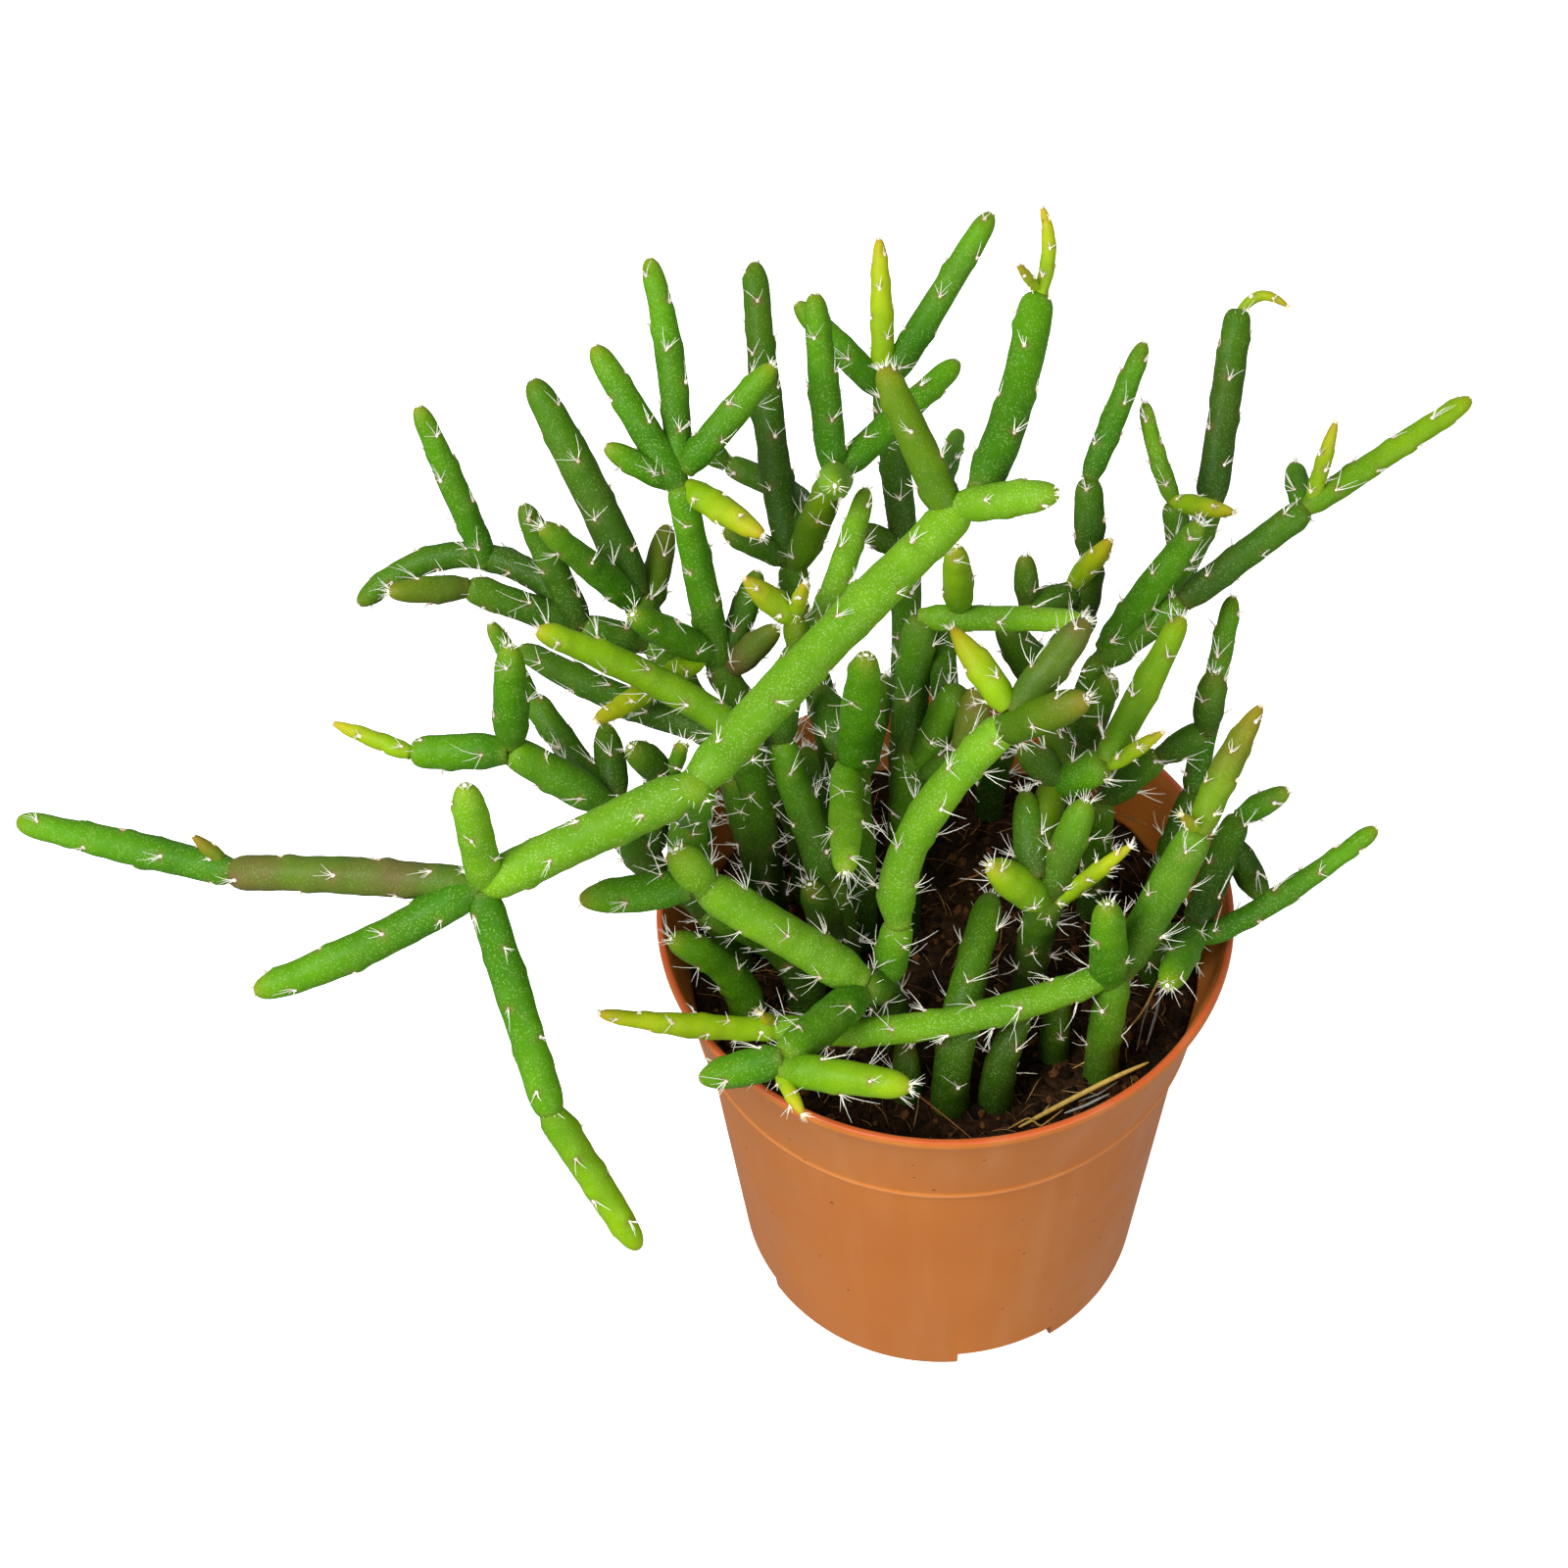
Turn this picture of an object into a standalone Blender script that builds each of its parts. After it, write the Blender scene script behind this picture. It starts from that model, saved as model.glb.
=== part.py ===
"""A mistletoe cactus growing in its round plastic nursery pot.

Frame: the origin is the centre of the pot's foot where it stands, +Z is up, and
the side seen in the photograph faces -Y. Lengths are in millimetres until MM
turns them into Blender's metres.

Each rooted stem is one object: its shoots are tapered tubes that grow out of one
another, fused with the bristles that they carry. A shoot is written as where it
starts and ends in the photograph, how much nearer the camera its tip lies than
the aim point, and its real width.
"""

import math
import random
from collections import namedtuple

import bmesh
import bpy
import numpy as np
from mathutils import Matrix, Vector

MM = 0.001

# The view that the pixel positions belong to.
PHOTO_WIDTH_PX = 1600
LENS_PX = 3759.0
CAMERA_DISTANCE = 550.0
CAMERA_ELEVATION_DEG = 50.34
CAMERA_ROLL_DEG = -1.92
AIM_POINT = (-24.37, 0.0, 114.11)

# The pot: a 9 cm nursery pot with a flared collar over a tapered body.
RIM_RADIUS = 45.0
RIM_HEIGHT = 83.5
RIM_LIP_HEIGHT = 1.6
RIM_LIP_OVERHANG = 0.5
RIM_EDGE = 0.5
LIP_SLOPE = 0.3
COLLAR_FOOT_RADIUS = 39.9
COLLAR_FOOT_HEIGHT = 62.0
COLLAR_BLEND = 0.7
BEAD_PROUD = 0.35
BODY_TOP_RADIUS = 39.0
BODY_TOP_HEIGHT = 60.6
FOOT_RADIUS = 33.0
FOOT_CHAMFER = 0.5
WALL = 1.3
FLOOR = 5.6
POT_STEPS = 36
SMOOTH_BELOW_DEG = 40.0
POT_COLOUR = (0.50, 0.17, 0.07)
POT_ROUGHNESS = 0.42

# Four channels under the foot, each with a drain hole.
CHANNEL_COUNT = 4
CHANNEL_FIRST_DEG = -73.2
CHANNEL_WIDTH = 16.6
CHANNEL_HEIGHT = 4.2
CHANNEL_INNER_RADIUS = 13.0
DRAIN_RADIUS = 3.0
DRAIN_AT_RADIUS = 24.0
DRAIN_SIDES = 12
DRAIN_OVERRUN = 1.0

# The soil, which keeps a hair's gap to the pot and to each stem.
GAP = 0.35
SOIL_TOP = 70.0
SOIL_RINGS = (0.0, 11.0, 22.0, 32.0)
SOIL_EDGE_DROP = 0.6
SOIL_BUMP = 0.8
SOIL_WAVE_X = 0.31
SOIL_WAVE_Y = 0.27
SOIL_WAVE_START = 1.0
SOIL_COLOUR = (0.035, 0.022, 0.015)
SOIL_ROUGHNESS = 0.95
HOLE_DEPTH = 12.0
HOLE_SIDES = 8
HOLE_OVERRUN = 5.0
FREE_HEIGHT = 2.0

# The shoots: share of the length, and share of the half width there.
TAPER = ((0.0, 0.72), (0.20, 1.0), (0.84, 0.88), (1.0, 0.38))
ROOT_TAPER = ((0.0, 0.92), (0.34, 1.0), (0.66, 1.0), (0.92, 0.84), (1.0, 0.50))
BENT_STEPS = (0.0, 0.20, 0.42, 0.64, 0.84, 1.0)
SHOOT_BEVEL_RESOLUTION = 1
ROOT_LIFT = 0.5
SEAT_SHARE = 0.6
SAMPLES = 17
WELD = 0.01
SKINS = {
    "dark": (0.05, 0.16, 0.03),
    "shade": (0.06, 0.19, 0.03),
    "green": (0.08, 0.24, 0.03),
    "light": (0.15, 0.36, 0.04),
    "fresh": (0.20, 0.40, 0.03),
    "yellow": (0.38, 0.42, 0.05),
    "olive": (0.14, 0.18, 0.04),
    "red": (0.30, 0.12, 0.05),
    "purple": (0.12, 0.08, 0.05),
}
SKIN_ROUGHNESS = 0.45

# The bristles: pale three-sided needles at the areoles, and one at each tip.
BRISTLE_SPACING = 14.0
BRISTLE_SPREAD = (0.9, 1.1)
BRISTLE_FIRST = (0.35, 0.65)
BRISTLE_LENGTH = (1.7, 2.6)
BRISTLE_WIDTH = 0.34
BRISTLE_SIDES = 3
BRISTLE_SINK = 0.7
BRISTLE_LEAN_DEG = 52.0
BRISTLE_TURN_DEG = 137.5
BRISTLE_TIP_LEAN = 0.5
BARE_TIP = 0.6
LOOK_AHEAD = 0.5
FLAT_SHARE = 0.87
NEEDLE_SHARES = (0.4, 0.6, 0.8, 1.0)
NEEDLE_CLEARANCE = 0.5
SOIL_CLEARANCE = 2.5
POT_CLEARANCE = 1.0
SEED = 11

Shoot = namedtuple("Shoot", "start tip near width via tint")
Limb = namedtuple("Limb", "points radii steps")


def shoot(start, tip, near, width, via=None, tint="green"):
    return Shoot(start, tip, near, width, via, tint)


def rooted(hole, tip, near, width, via=None, tint="dark"):
    """The first shoot of a stem, which starts from the place of its hole in the soil."""
    return Shoot(hole, tip, near, width, via, tint)


STEMS = {
    "stem_left_arm": [
        rooted((-22, -8), (715, 925), -8, 6.2),
        shoot((715, 925), (706, 828), 5, 6.2, via=(703, 878), tint="dark"),
        shoot((706, 828), (708, 802), 44, 6.2),
        shoot((708, 802), (490, 905), 30, 6.3, tint="light"),
        shoot((482, 908), (474, 801), 44, 5.4, tint="light"),
        shoot((484, 905), (234, 891), 22, 5.4, via=(348, 893), tint="purple"),
        shoot((232, 889), (18, 838), 10, 4.9),
        shoot((229, 880), (196, 852), 26, 2.1, tint="red"),
        shoot((488, 902), (259, 1012), 30, 5.4, via=(378, 964)),
        shoot((491, 908), (563, 1139), 24, 5.2),
        shoot((561, 1138), (652, 1274), 12, 4.7, tint="fresh"),
        shoot((708, 802), (983, 517), 34, 6.3, via=(843, 657), tint="light"),
        shoot((983, 515), (900, 374), 38, 5.1, tint="olive"),
        shoot((985, 514), (1080, 503), 44, 5.3, tint="light"),
        shoot((998, 500), (1059, 300), 26, 5.4, via=(1034, 414)),
        shoot((1060, 300), (1063, 211), 30, 2.1, via=(1070, 257), tint="yellow"),
        shoot((1054, 296), (1038, 269), 34, 1.4, tint="yellow"),
        shoot((945, 520), (978, 441), 14, 3.2),
    ],
    "stem_front": [
        rooted((-9, -15), (882, 1008), 0, 6.0),
        shoot((875, 996), (716, 903), 10, 6.5, tint="light"),
        shoot((712, 904), (690, 866), 16, 6.0, tint="light"),
        shoot((700, 908), (591, 918), 12, 5.5),
        shoot((880, 1012), (800, 1078), 12, 5.9),
        shoot((796, 1090), (714, 1101), 6, 5.4),
        shoot((799, 1092), (930, 1109), 18, 5.2, tint="fresh"),
        shoot((794, 1104), (820, 1138), 16, 2.2, tint="yellow"),
        shoot((904, 1000), (917, 942), 2, 5.4),
        shoot((917, 942), (1030, 737), 20, 5.6, via=(936, 848), tint="light"),
        shoot((1028, 732), (1110, 713), 32, 5.5, tint="fresh"),
        shoot((1034, 722), (1110, 632), 26, 5.3, tint="purple"),
        shoot((1030, 722), (971, 640), 22, 4.4, tint="yellow"),
    ],
    "stem_front_right": [
        rooted((23, -23.5), (1140, 992), -4, 5.4, tint="shade"),
        shoot((1132, 1000), (1130, 922), 12, 5.8),
        shoot((1144, 990), (1224, 846), 8, 6.0, tint="shade"),
        shoot((1226, 847), (1287, 720), 10, 4.6, via=(1252, 782), tint="red"),
        shoot((1222, 846), (1205, 831), 14, 1.8, tint="yellow"),
        shoot((1132, 994), (785, 1048), -2, 4.5, via=(950, 1046), tint="light"),
        shoot((786, 1050), (611, 1034), 2, 3.7, via=(700, 1046), tint="yellow"),
        shoot((790, 1046), (776, 1034), 2, 2.0, tint="yellow"),
    ],
    "stem_right_low": [
        rooted((33, -5), (1222, 958), -12, 5.0),
        shoot((1222, 958), (1405, 845), -10, 3.5, via=(1292, 924)),
        shoot((1218, 950), (1191, 1006), 2, 5.1),
        shoot((1218, 950), (1264, 832), -18, 4.8, tint="dark"),
        shoot((1264, 834), (1315, 806), -14, 3.7),
        shoot((1255, 858), (1290, 918), -20, 4.9, tint="dark"),
    ],
    "stem_right_mid": [
        rooted((13, -8), (1072, 918), 0, 5.5),
        shoot((1074, 924), (1154, 863), 8, 2.5, tint="yellow"),
        shoot((1066, 922), (1010, 882), 8, 5.6, tint="fresh"),
        shoot((1068, 912), (1109, 816), 8, 5.5, tint="shade"),
        shoot((1050, 890), (1078, 796), 0, 5.0, tint="olive"),
        shoot((1078, 806), (1128, 776), 6, 5.4),
        shoot((1128, 778), (1207, 629), 4, 4.5, tint="fresh"),
        shoot((1132, 782), (1187, 747), 12, 2.2, tint="yellow"),
        shoot((1088, 798), (1040, 763), 0, 5.0, tint="dark"),
        shoot((1094, 790), (1066, 744), -6, 4.4, tint="olive"),
        shoot((1056, 896), (1046, 806), 2, 5.0, tint="dark"),
    ],
    "stem_right_back": [
        rooted((24, 8), (1124, 818), -16, 4.8),
        shoot((1124, 818), (1184, 770), -14, 4.6, tint="dark"),
        shoot((1184, 772), (1231, 745), -12, 4.3, tint="dark"),
        shoot((1230, 746), (1239, 685), -6, 4.9, tint="dark"),
    ],
    "stem_right_tall": [
        rooted((33, 3), (1218, 806), -24, 4.0),
        shoot((1220, 806), (1258, 608), -24, 3.8),
    ],
    "stem_back_right": [
        rooted((20, 24), (1124, 672), -18, 4.8),
        shoot((1124, 670), (1208, 613), -14, 4.6, tint="shade"),
        shoot((1208, 613), (1334, 518), -10, 4.6, tint="dark"),
        shoot((1334, 516), (1501, 407), -12, 3.8, tint="fresh"),
        shoot((1338, 512), (1363, 430), -4, 2.4, tint="yellow"),
        shoot((1330, 520), (1320, 474), -20, 3.8),
        shoot((1126, 662), (1226, 533), -6, 4.8),
        shoot((1130, 668), (1237, 512), -34, 4.5, via=(1194, 600), tint="dark"),
        shoot((1240, 508), (1264, 315), -32, 5.0, tint="dark"),
        shoot((1266, 316), (1314, 313), -30, 1.6, via=(1286, 302), tint="yellow"),
        shoot((1206, 570), (1197, 512), -26, 4.2, tint="dark"),
        shoot((1198, 512), (1168, 410), -24, 2.9, via=(1180, 462), tint="light"),
        shoot((1198, 512), (1260, 523), -18, 3.0, tint="yellow"),
        shoot((1104, 772), (1134, 690), -14, 4.6, tint="dark"),
    ],
    "stem_back_inner": [
        rooted((9, 29), (1114, 624), -28, 4.8),
        shoot((1114, 624), (1113, 568), -24, 4.7, tint="dark"),
        shoot((1112, 566), (1111, 488), -22, 4.7, tint="dark"),
        shoot((1111, 490), (1168, 349), -20, 3.8),
        shoot((1108, 604), (1046, 616), -24, 4.2, tint="dark"),
        shoot((1048, 616), (1046, 566), -20, 4.0, tint="dark"),
        shoot((1094, 598), (1134, 550), -16, 3.5, tint="yellow"),
        shoot((1072, 706), (1024, 636), -16, 6.0, tint="dark"),
    ],
    "stem_mid": [
        rooted((-0.5, -28), (1012, 912), -14, 6.0, via=(986, 1015), tint="shade"),
    ],
    "stem_centre_right": [
        rooted((-6, 7), (927, 764), -8, 5.6),
        shoot((927, 764), (940, 630), 0, 5.4, via=(932, 690), tint="dark"),
        shoot((938, 622), (1106, 632), 6, 3.9, tint="light"),
        shoot((979, 618), (975, 557), 12, 4.4, tint="fresh"),
        shoot((924, 806), (978, 704), 2, 5.3, tint="shade"),
        shoot((940, 786), (988, 780), -2, 5.0, tint="dark"),
        shoot((986, 780), (996, 702), 4, 5.2, tint="olive"),
        shoot((966, 726), (958, 630), -8, 4.4, tint="dark"),
    ],
    "stem_centre_left": [
        rooted((-13, 4), (868, 778), -2, 5.4),
        shoot((872, 776), (884, 668), 18, 5.8),
        shoot((864, 772), (837, 700), -8, 5.3, tint="dark"),
        shoot((864, 782), (862, 891), 14, 5.1, tint="light"),
        shoot((872, 800), (902, 688), -13, 5.2, tint="dark"),
    ],
    "stem_centre": [
        rooted((-16, -3.2), (846, 900), -12, 5.6),
        shoot((845, 902), (794, 753), -4, 5.2, tint="shade"),
        shoot((856, 960), (826, 902), -8, 5.8, tint="dark"),
        shoot((844, 894), (822, 762), -21, 4.4, tint="dark"),
        shoot((794, 755), (812, 662), 8, 4.6, tint="dark"),
        shoot((812, 662), (811, 628), 10, 3.6, tint="olive"),
        shoot((811, 632), (759, 590), 16, 4.1, tint="yellow"),
        shoot((811, 624), (822, 594), 20, 2.2, tint="yellow"),
        shoot((816, 662), (884, 498), 0, 4.1, via=(848, 610), tint="light"),
    ],
    "stem_top_centre": [
        rooted((-15, 20), (806, 604), -16, 4.8),
        shoot((806, 602), (810, 574), -14, 4.7, tint="dark"),
        shoot((808, 572), (770, 267), -16, 4.9, via=(784, 425), tint="dark"),
        shoot((812, 578), (852, 486), -2, 4.9, tint="olive"),
        shoot((852, 484), (852, 496), 18, 5.0, tint="light"),
        shoot((850, 482), (831, 299), 6, 4.6),
        shoot((862, 480), (978, 369), -10, 4.4),
        shoot((806, 570), (738, 541), -14, 4.2, tint="dark"),
        shoot((824, 540), (814, 505), -24, 4.2, tint="dark"),
        shoot((816, 506), (742, 473), -26, 4.2, tint="dark"),
        shoot((742, 473), (706, 445), -24, 3.6),
    ],
    "stem_top_right": [
        rooted((-5, 28), (926, 560), -24, 4.8),
        shoot((926, 560), (903, 396), -18, 4.6, tint="dark"),
        shoot((903, 396), (812, 309), -16, 4.4),
        shoot((907, 384), (897, 243), -14, 3.6, tint="yellow"),
        shoot((910, 388), (1012, 217), -16, 4.4),
        shoot((924, 562), (876, 538), -20, 3.8, tint="dark"),
    ],
    "stem_left_back": [
        rooted((-21, 13), (728, 676), -8, 5.0),
        shoot((722, 672), (694, 494), 8, 4.8),
        shoot((692, 490), (606, 353), 8, 4.7),
        shoot((694, 480), (662, 264), 0, 4.3, via=(684, 368)),
        shoot((704, 478), (790, 372), 14, 4.5),
        shoot((686, 494), (617, 455), 10, 3.9),
        shoot((706, 496), (780, 547), 16, 4.3, tint="yellow"),
        shoot((716, 670), (645, 627), 14, 4.9),
        shoot((718, 668), (607, 736), 10, 3.7, via=(656, 707), tint="yellow"),
        shoot((742, 684), (794, 640), -3, 4.5, tint="purple"),
        shoot((740, 676), (774, 582), -6, 4.3, tint="dark"),
    ],
    "stem_left_mid": [
        rooted((-27, 5), (752, 742), 4, 5.0),
        shoot((752, 736), (547, 643), 16, 4.7, via=(660, 690), tint="fresh"),
        shoot((748, 750), (530, 661), -16, 4.8, via=(640, 716), tint="dark"),
        shoot((792, 930), (746, 790), -6, 5.6, tint="dark"),
    ],
    "stem_left_upper": [
        rooted((-29, 15), (664, 650), -12, 5.0),
        shoot((664, 650), (648, 606), -10, 5.2, tint="dark"),
        shoot((650, 608), (542, 387), -4, 5.8, via=(605, 506), tint="dark"),
        shoot((652, 618), (552, 536), 6, 4.5),
        shoot((662, 622), (681, 536), -16, 4.3, tint="olive"),
        shoot((660, 656), (592, 640), -10, 5.0, tint="dark"),
        shoot((594, 640), (533, 514), -4, 4.5, tint="dark"),
        shoot((590, 638), (476, 599), -6, 4.8, tint="dark"),
        shoot((476, 599), (396, 604), -2, 4.2, tint="olive"),
        shoot((590, 622), (366, 617), -16, 4.3, via=(476, 566), tint="dark"),
        shoot((497, 578), (426, 414), -2, 4.1),
    ],
    "stem_left_low": [
        rooted((-33, -1), (668, 892), -12, 5.4),
        shoot((668, 892), (618, 820), 2, 5.5, tint="dark"),
        shoot((618, 820), (519, 764), 12, 5.6),
        shoot((518, 766), (419, 768), 10, 5.4),
        shoot((420, 769), (340, 738), 8, 2.6, tint="yellow"),
        shoot((522, 760), (520, 658), 22, 5.3),
        shoot((628, 830), (542, 712), -6, 4.4, tint="dark"),
        shoot((542, 714), (500, 635), 2, 3.0),
        shoot((634, 812), (617, 738), -4, 4.8, tint="dark"),
        shoot((662, 868), (676, 788), 2, 5.0, tint="dark"),
        shoot((678, 790), (643, 762), 10, 4.9, tint="dark"),
        shoot((686, 800), (698, 756), 10, 2.4),
        shoot((692, 906), (722, 828), -24, 5.0, tint="dark"),
    ],
    "stem_left_short": [
        rooted((-31.3, -11.5), (684, 958), -6, 5.6, via=(717, 1004), tint="green"),
    ],
    "stem_front_short_a": [
        rooted((-7, -26), (922, 1058), -14, 5.0),
    ],
    "stem_front_short_c": [
        rooted((16, -19.5), (1084, 1010), -14, 4.8),
    ],
    "stem_front_short_b": [
        rooted((6.5, -28), (1046, 1026), -10, 5.4),
    ],
}


def camera_axes():
    """The photograph's right and up, and the way back to the camera, as unit vectors."""
    elevation = math.radians(CAMERA_ELEVATION_DEG)
    roll = math.radians(CAMERA_ROLL_DEG)
    back = np.array((0.0, -math.cos(elevation), math.sin(elevation)))
    level_right = np.array((1.0, 0.0, 0.0))
    level_up = np.cross(level_right, -back)
    right = math.cos(roll) * level_right + math.sin(roll) * level_up
    up = -math.sin(roll) * level_right + math.cos(roll) * level_up
    return right, up, back


RIGHT, UP, BACK = camera_axes()


def at_pixel(pixel, near):
    """The point that shows at this pixel, this much nearer the camera than the aim point."""
    depth = CAMERA_DISTANCE - near
    across = (pixel[0] - PHOTO_WIDTH_PX / 2) * depth / LENS_PX
    above = (PHOTO_WIDTH_PX / 2 - pixel[1]) * depth / LENS_PX
    return np.array(AIM_POINT) + across * RIGHT + above * UP + near * BACK


def seen_at(point):
    """Where a point shows in the photograph, and how near it is."""
    offset = np.asarray(point) - np.array(AIM_POINT)
    near = offset @ BACK
    scale = LENS_PX / (CAMERA_DISTANCE - near)
    across = PHOTO_WIDTH_PX / 2 + scale * (offset @ RIGHT)
    down = PHOTO_WIDTH_PX / 2 - scale * (offset @ UP)
    return np.array((across, down)), near


def bent_line(start, bend, tip):
    """Points along the smooth curve from start to tip that is pulled towards bend."""
    share = np.linspace(0.0, 1.0, SAMPLES)[:, None]
    return (1 - share) ** 2 * start + 2 * share * (1 - share) * bend + share**2 * tip


def seat_on(limbs, pixel):
    """The point in an earlier shoot, short of its tip, that shows nearest the pixel.

    It is moved towards the pixel but kept inside the shoot.
    """
    best = None
    for limb in limbs:
        for point, radius in zip(limb.points[:-1], limb.radii):
            shown, near = seen_at(point)
            apart = math.hypot(*(shown - pixel))
            if best is None or apart < best[0]:
                best = (apart, point, radius, near)
    _, point, radius, near = best
    wanted = at_pixel(pixel, near) - point
    reach = max(np.linalg.norm(wanted), WELD)
    return point + wanted * min(1.0, SEAT_SHARE * radius / reach)


def shares_of(taper):
    return tuple(share for share, _ in taper)


def grow(shoots):
    """The limbs of one stem, each with its centre line, its radius along it and where it is ringed."""
    limbs = []
    for shoot_here in shoots:
        tip = at_pixel(shoot_here.tip, shoot_here.near)
        if limbs:
            start = seat_on(limbs, np.array(shoot_here.start))
            middle_near = (seen_at(start)[1] + shoot_here.near) / 2
            bend = (start + tip) / 2
            if shoot_here.via:
                bend = 2 * at_pixel(shoot_here.via, middle_near) - bend
            taper = TAPER
            steps = BENT_STEPS if shoot_here.via else shares_of(TAPER)
        else:
            start = np.array((*shoot_here.start, SOIL_TOP + FREE_HEIGHT))
            lift = ROOT_LIFT * np.linalg.norm(tip - start)
            bend = start + np.array((0.0, 0.0, lift))
            taper = ROOT_TAPER
            steps = shares_of(ROOT_TAPER)
        widths = np.interp(np.linspace(0.0, 1.0, SAMPLES), *zip(*taper))
        radii = widths * shoot_here.width / 2
        limbs.append(Limb(bent_line(start, bend, tip), radii, steps))
    return limbs


def weld(mesh):
    """Joins the loose caps of a converted curve or turned shape to its sides."""
    work = bmesh.new()
    work.from_mesh(mesh)
    bmesh.ops.remove_doubles(work, verts=work.verts, dist=WELD * MM)
    bmesh.ops.recalc_face_normals(work, faces=work.faces)
    work.to_mesh(mesh)
    work.free()


def take_mesh(obj, name):
    """A mesh object with the evaluated shape of obj, which is removed."""
    bpy.context.view_layer.update()
    shape = obj.evaluated_get(bpy.context.evaluated_depsgraph_get())
    mesh = bpy.data.meshes.new_from_object(shape)
    made = bpy.data.objects.new(name, mesh)
    made.matrix_world = obj.matrix_world.copy()
    old = obj.data
    bpy.data.objects.remove(obj)
    if isinstance(old, bpy.types.Curve):
        bpy.data.curves.remove(old)
    return made


def tube(name, points, radii, collection):
    """A closed tube through the points, with its own radius at each."""
    data = bpy.data.curves.new(name, "CURVE")
    data.dimensions = "3D"
    data.bevel_depth = MM
    data.bevel_resolution = SHOOT_BEVEL_RESOLUTION
    data.use_fill_caps = True
    line = data.splines.new("POLY")
    line.points.add(len(points) - 1)
    for place, point, radius in zip(line.points, points, radii):
        place.co = (*(point * MM), 1.0)
        place.radius = radius
    curve = bpy.data.objects.new(name, data)
    collection.objects.link(curve)
    made = take_mesh(curve, name)
    weld(made.data)
    collection.objects.link(made)
    return made


def limb_tube(name, limb, in_hole, collection):
    """The tube of one limb. The first limb of a stem goes on down into its hole."""
    place = np.linspace(0.0, 1.0, SAMPLES)
    points = [np.interp(limb.steps, place, limb.points[:, axis]) for axis in range(3)]
    points = np.stack(points, axis=1)
    radii = np.interp(limb.steps, place, limb.radii)
    if in_hole:
        foot = np.array(limb.points[0])
        foot[2] = SOIL_TOP - HOLE_DEPTH + GAP
        points = np.vstack((foot, points))
        radii = np.concatenate(((radii[0],), radii))
    return tube(name, points, radii, collection)


def side_ways(direction):
    """Two unit vectors square to a direction."""
    helper = np.eye(3)[np.argmin(np.abs(direction))]
    one = np.cross(direction, helper)
    one /= np.linalg.norm(one)
    return one, np.cross(direction, one)


def bristle_places(limb, rng):
    """Root, direction and length of each bristle of a limb."""
    steps = np.linalg.norm(np.diff(limb.points, axis=0), axis=1)
    place = np.concatenate(((0.0,), np.cumsum(steps)))
    turn = rng.uniform(0.0, 360.0)
    spot = rng.uniform(*BRISTLE_FIRST) * BRISTLE_SPACING
    found = []
    while spot < place[-1] - BARE_TIP:
        centre = np.array([np.interp(spot, place, limb.points[:, axis]) for axis in range(3)])
        ahead = np.array([np.interp(spot + LOOK_AHEAD, place, limb.points[:, axis]) for axis in range(3)])
        forward = (ahead - centre) / np.linalg.norm(ahead - centre)
        radius = np.interp(spot, place, limb.radii)
        one, two = side_ways(forward)
        outward = math.cos(math.radians(turn)) * one + math.sin(math.radians(turn)) * two
        lean = math.radians(BRISTLE_LEAN_DEG)
        direction = math.cos(lean) * forward + math.sin(lean) * outward
        root = centre + outward * (radius * FLAT_SHARE - BRISTLE_SINK)
        found.append((root, direction, rng.uniform(*BRISTLE_LENGTH) + BRISTLE_SINK))
        turn += BRISTLE_TURN_DEG
        spot += BRISTLE_SPACING * rng.uniform(*BRISTLE_SPREAD)
    forward = limb.points[-1] - limb.points[-2]
    forward /= np.linalg.norm(forward)
    one, two = side_ways(forward)
    angle = rng.uniform(0.0, 2 * math.pi)
    direction = forward + BRISTLE_TIP_LEAN * (math.cos(angle) * one + math.sin(angle) * two)
    direction /= np.linalg.norm(direction)
    root = limb.points[-1] - forward * BRISTLE_SINK
    found.append((root, direction, rng.uniform(*BRISTLE_LENGTH) + BRISTLE_SINK))
    return found


def keeps_off_pot(needle):
    """Whether a needle stays above the soil, and away from the wall while it is below the rim."""
    low = needle[:, 2].min()
    if low < SOIL_TOP + SOIL_CLEARANCE:
        return False
    reach = np.hypot(needle[:, 0], needle[:, 1]).max()
    return low > RIM_HEIGHT + POT_CLEARANCE or reach < pot_outer(SOIL_TOP) - WALL - POT_CLEARANCE


def stays_clear(needle, balls):
    """Whether a needle keeps clear of balls given as rows of x, y, z and radius."""
    apart = np.linalg.norm(needle[:, None, :] - balls[None, :, :3], axis=2)
    return bool((apart > balls[None, :, 3] + NEEDLE_CLEARANCE).all())


def add_bristle(collection, root, direction, length):
    work = bmesh.new()
    bmesh.ops.create_cone(
        work,
        cap_ends=True,
        segments=BRISTLE_SIDES,
        radius1=BRISTLE_WIDTH / math.sqrt(3) * MM,
        radius2=0.0,
        depth=length * MM,
    )
    bmesh.ops.remove_doubles(work, verts=work.verts, dist=WELD * MM)
    mesh = bpy.data.meshes.new("bristle")
    work.to_mesh(mesh)
    work.free()
    needle = bpy.data.objects.new("bristle", mesh)
    needle.rotation_mode = "QUATERNION"
    needle.rotation_quaternion = Vector(direction).to_track_quat("Z", "Y")
    needle.location = Vector((root + direction * length / 2) * MM)
    collection.objects.link(needle)


def joined(base, collection, name):
    """The base fused with everything in the collection, which is then emptied."""
    union = base.modifiers.new("union", "BOOLEAN")
    union.operation = "UNION"
    union.operand_type = "COLLECTION"
    union.collection = collection
    union.solver = "MANIFOLD"
    made = take_mesh(base, name)
    for helper in list(collection.objects):
        bpy.data.objects.remove(helper)
    return made


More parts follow.
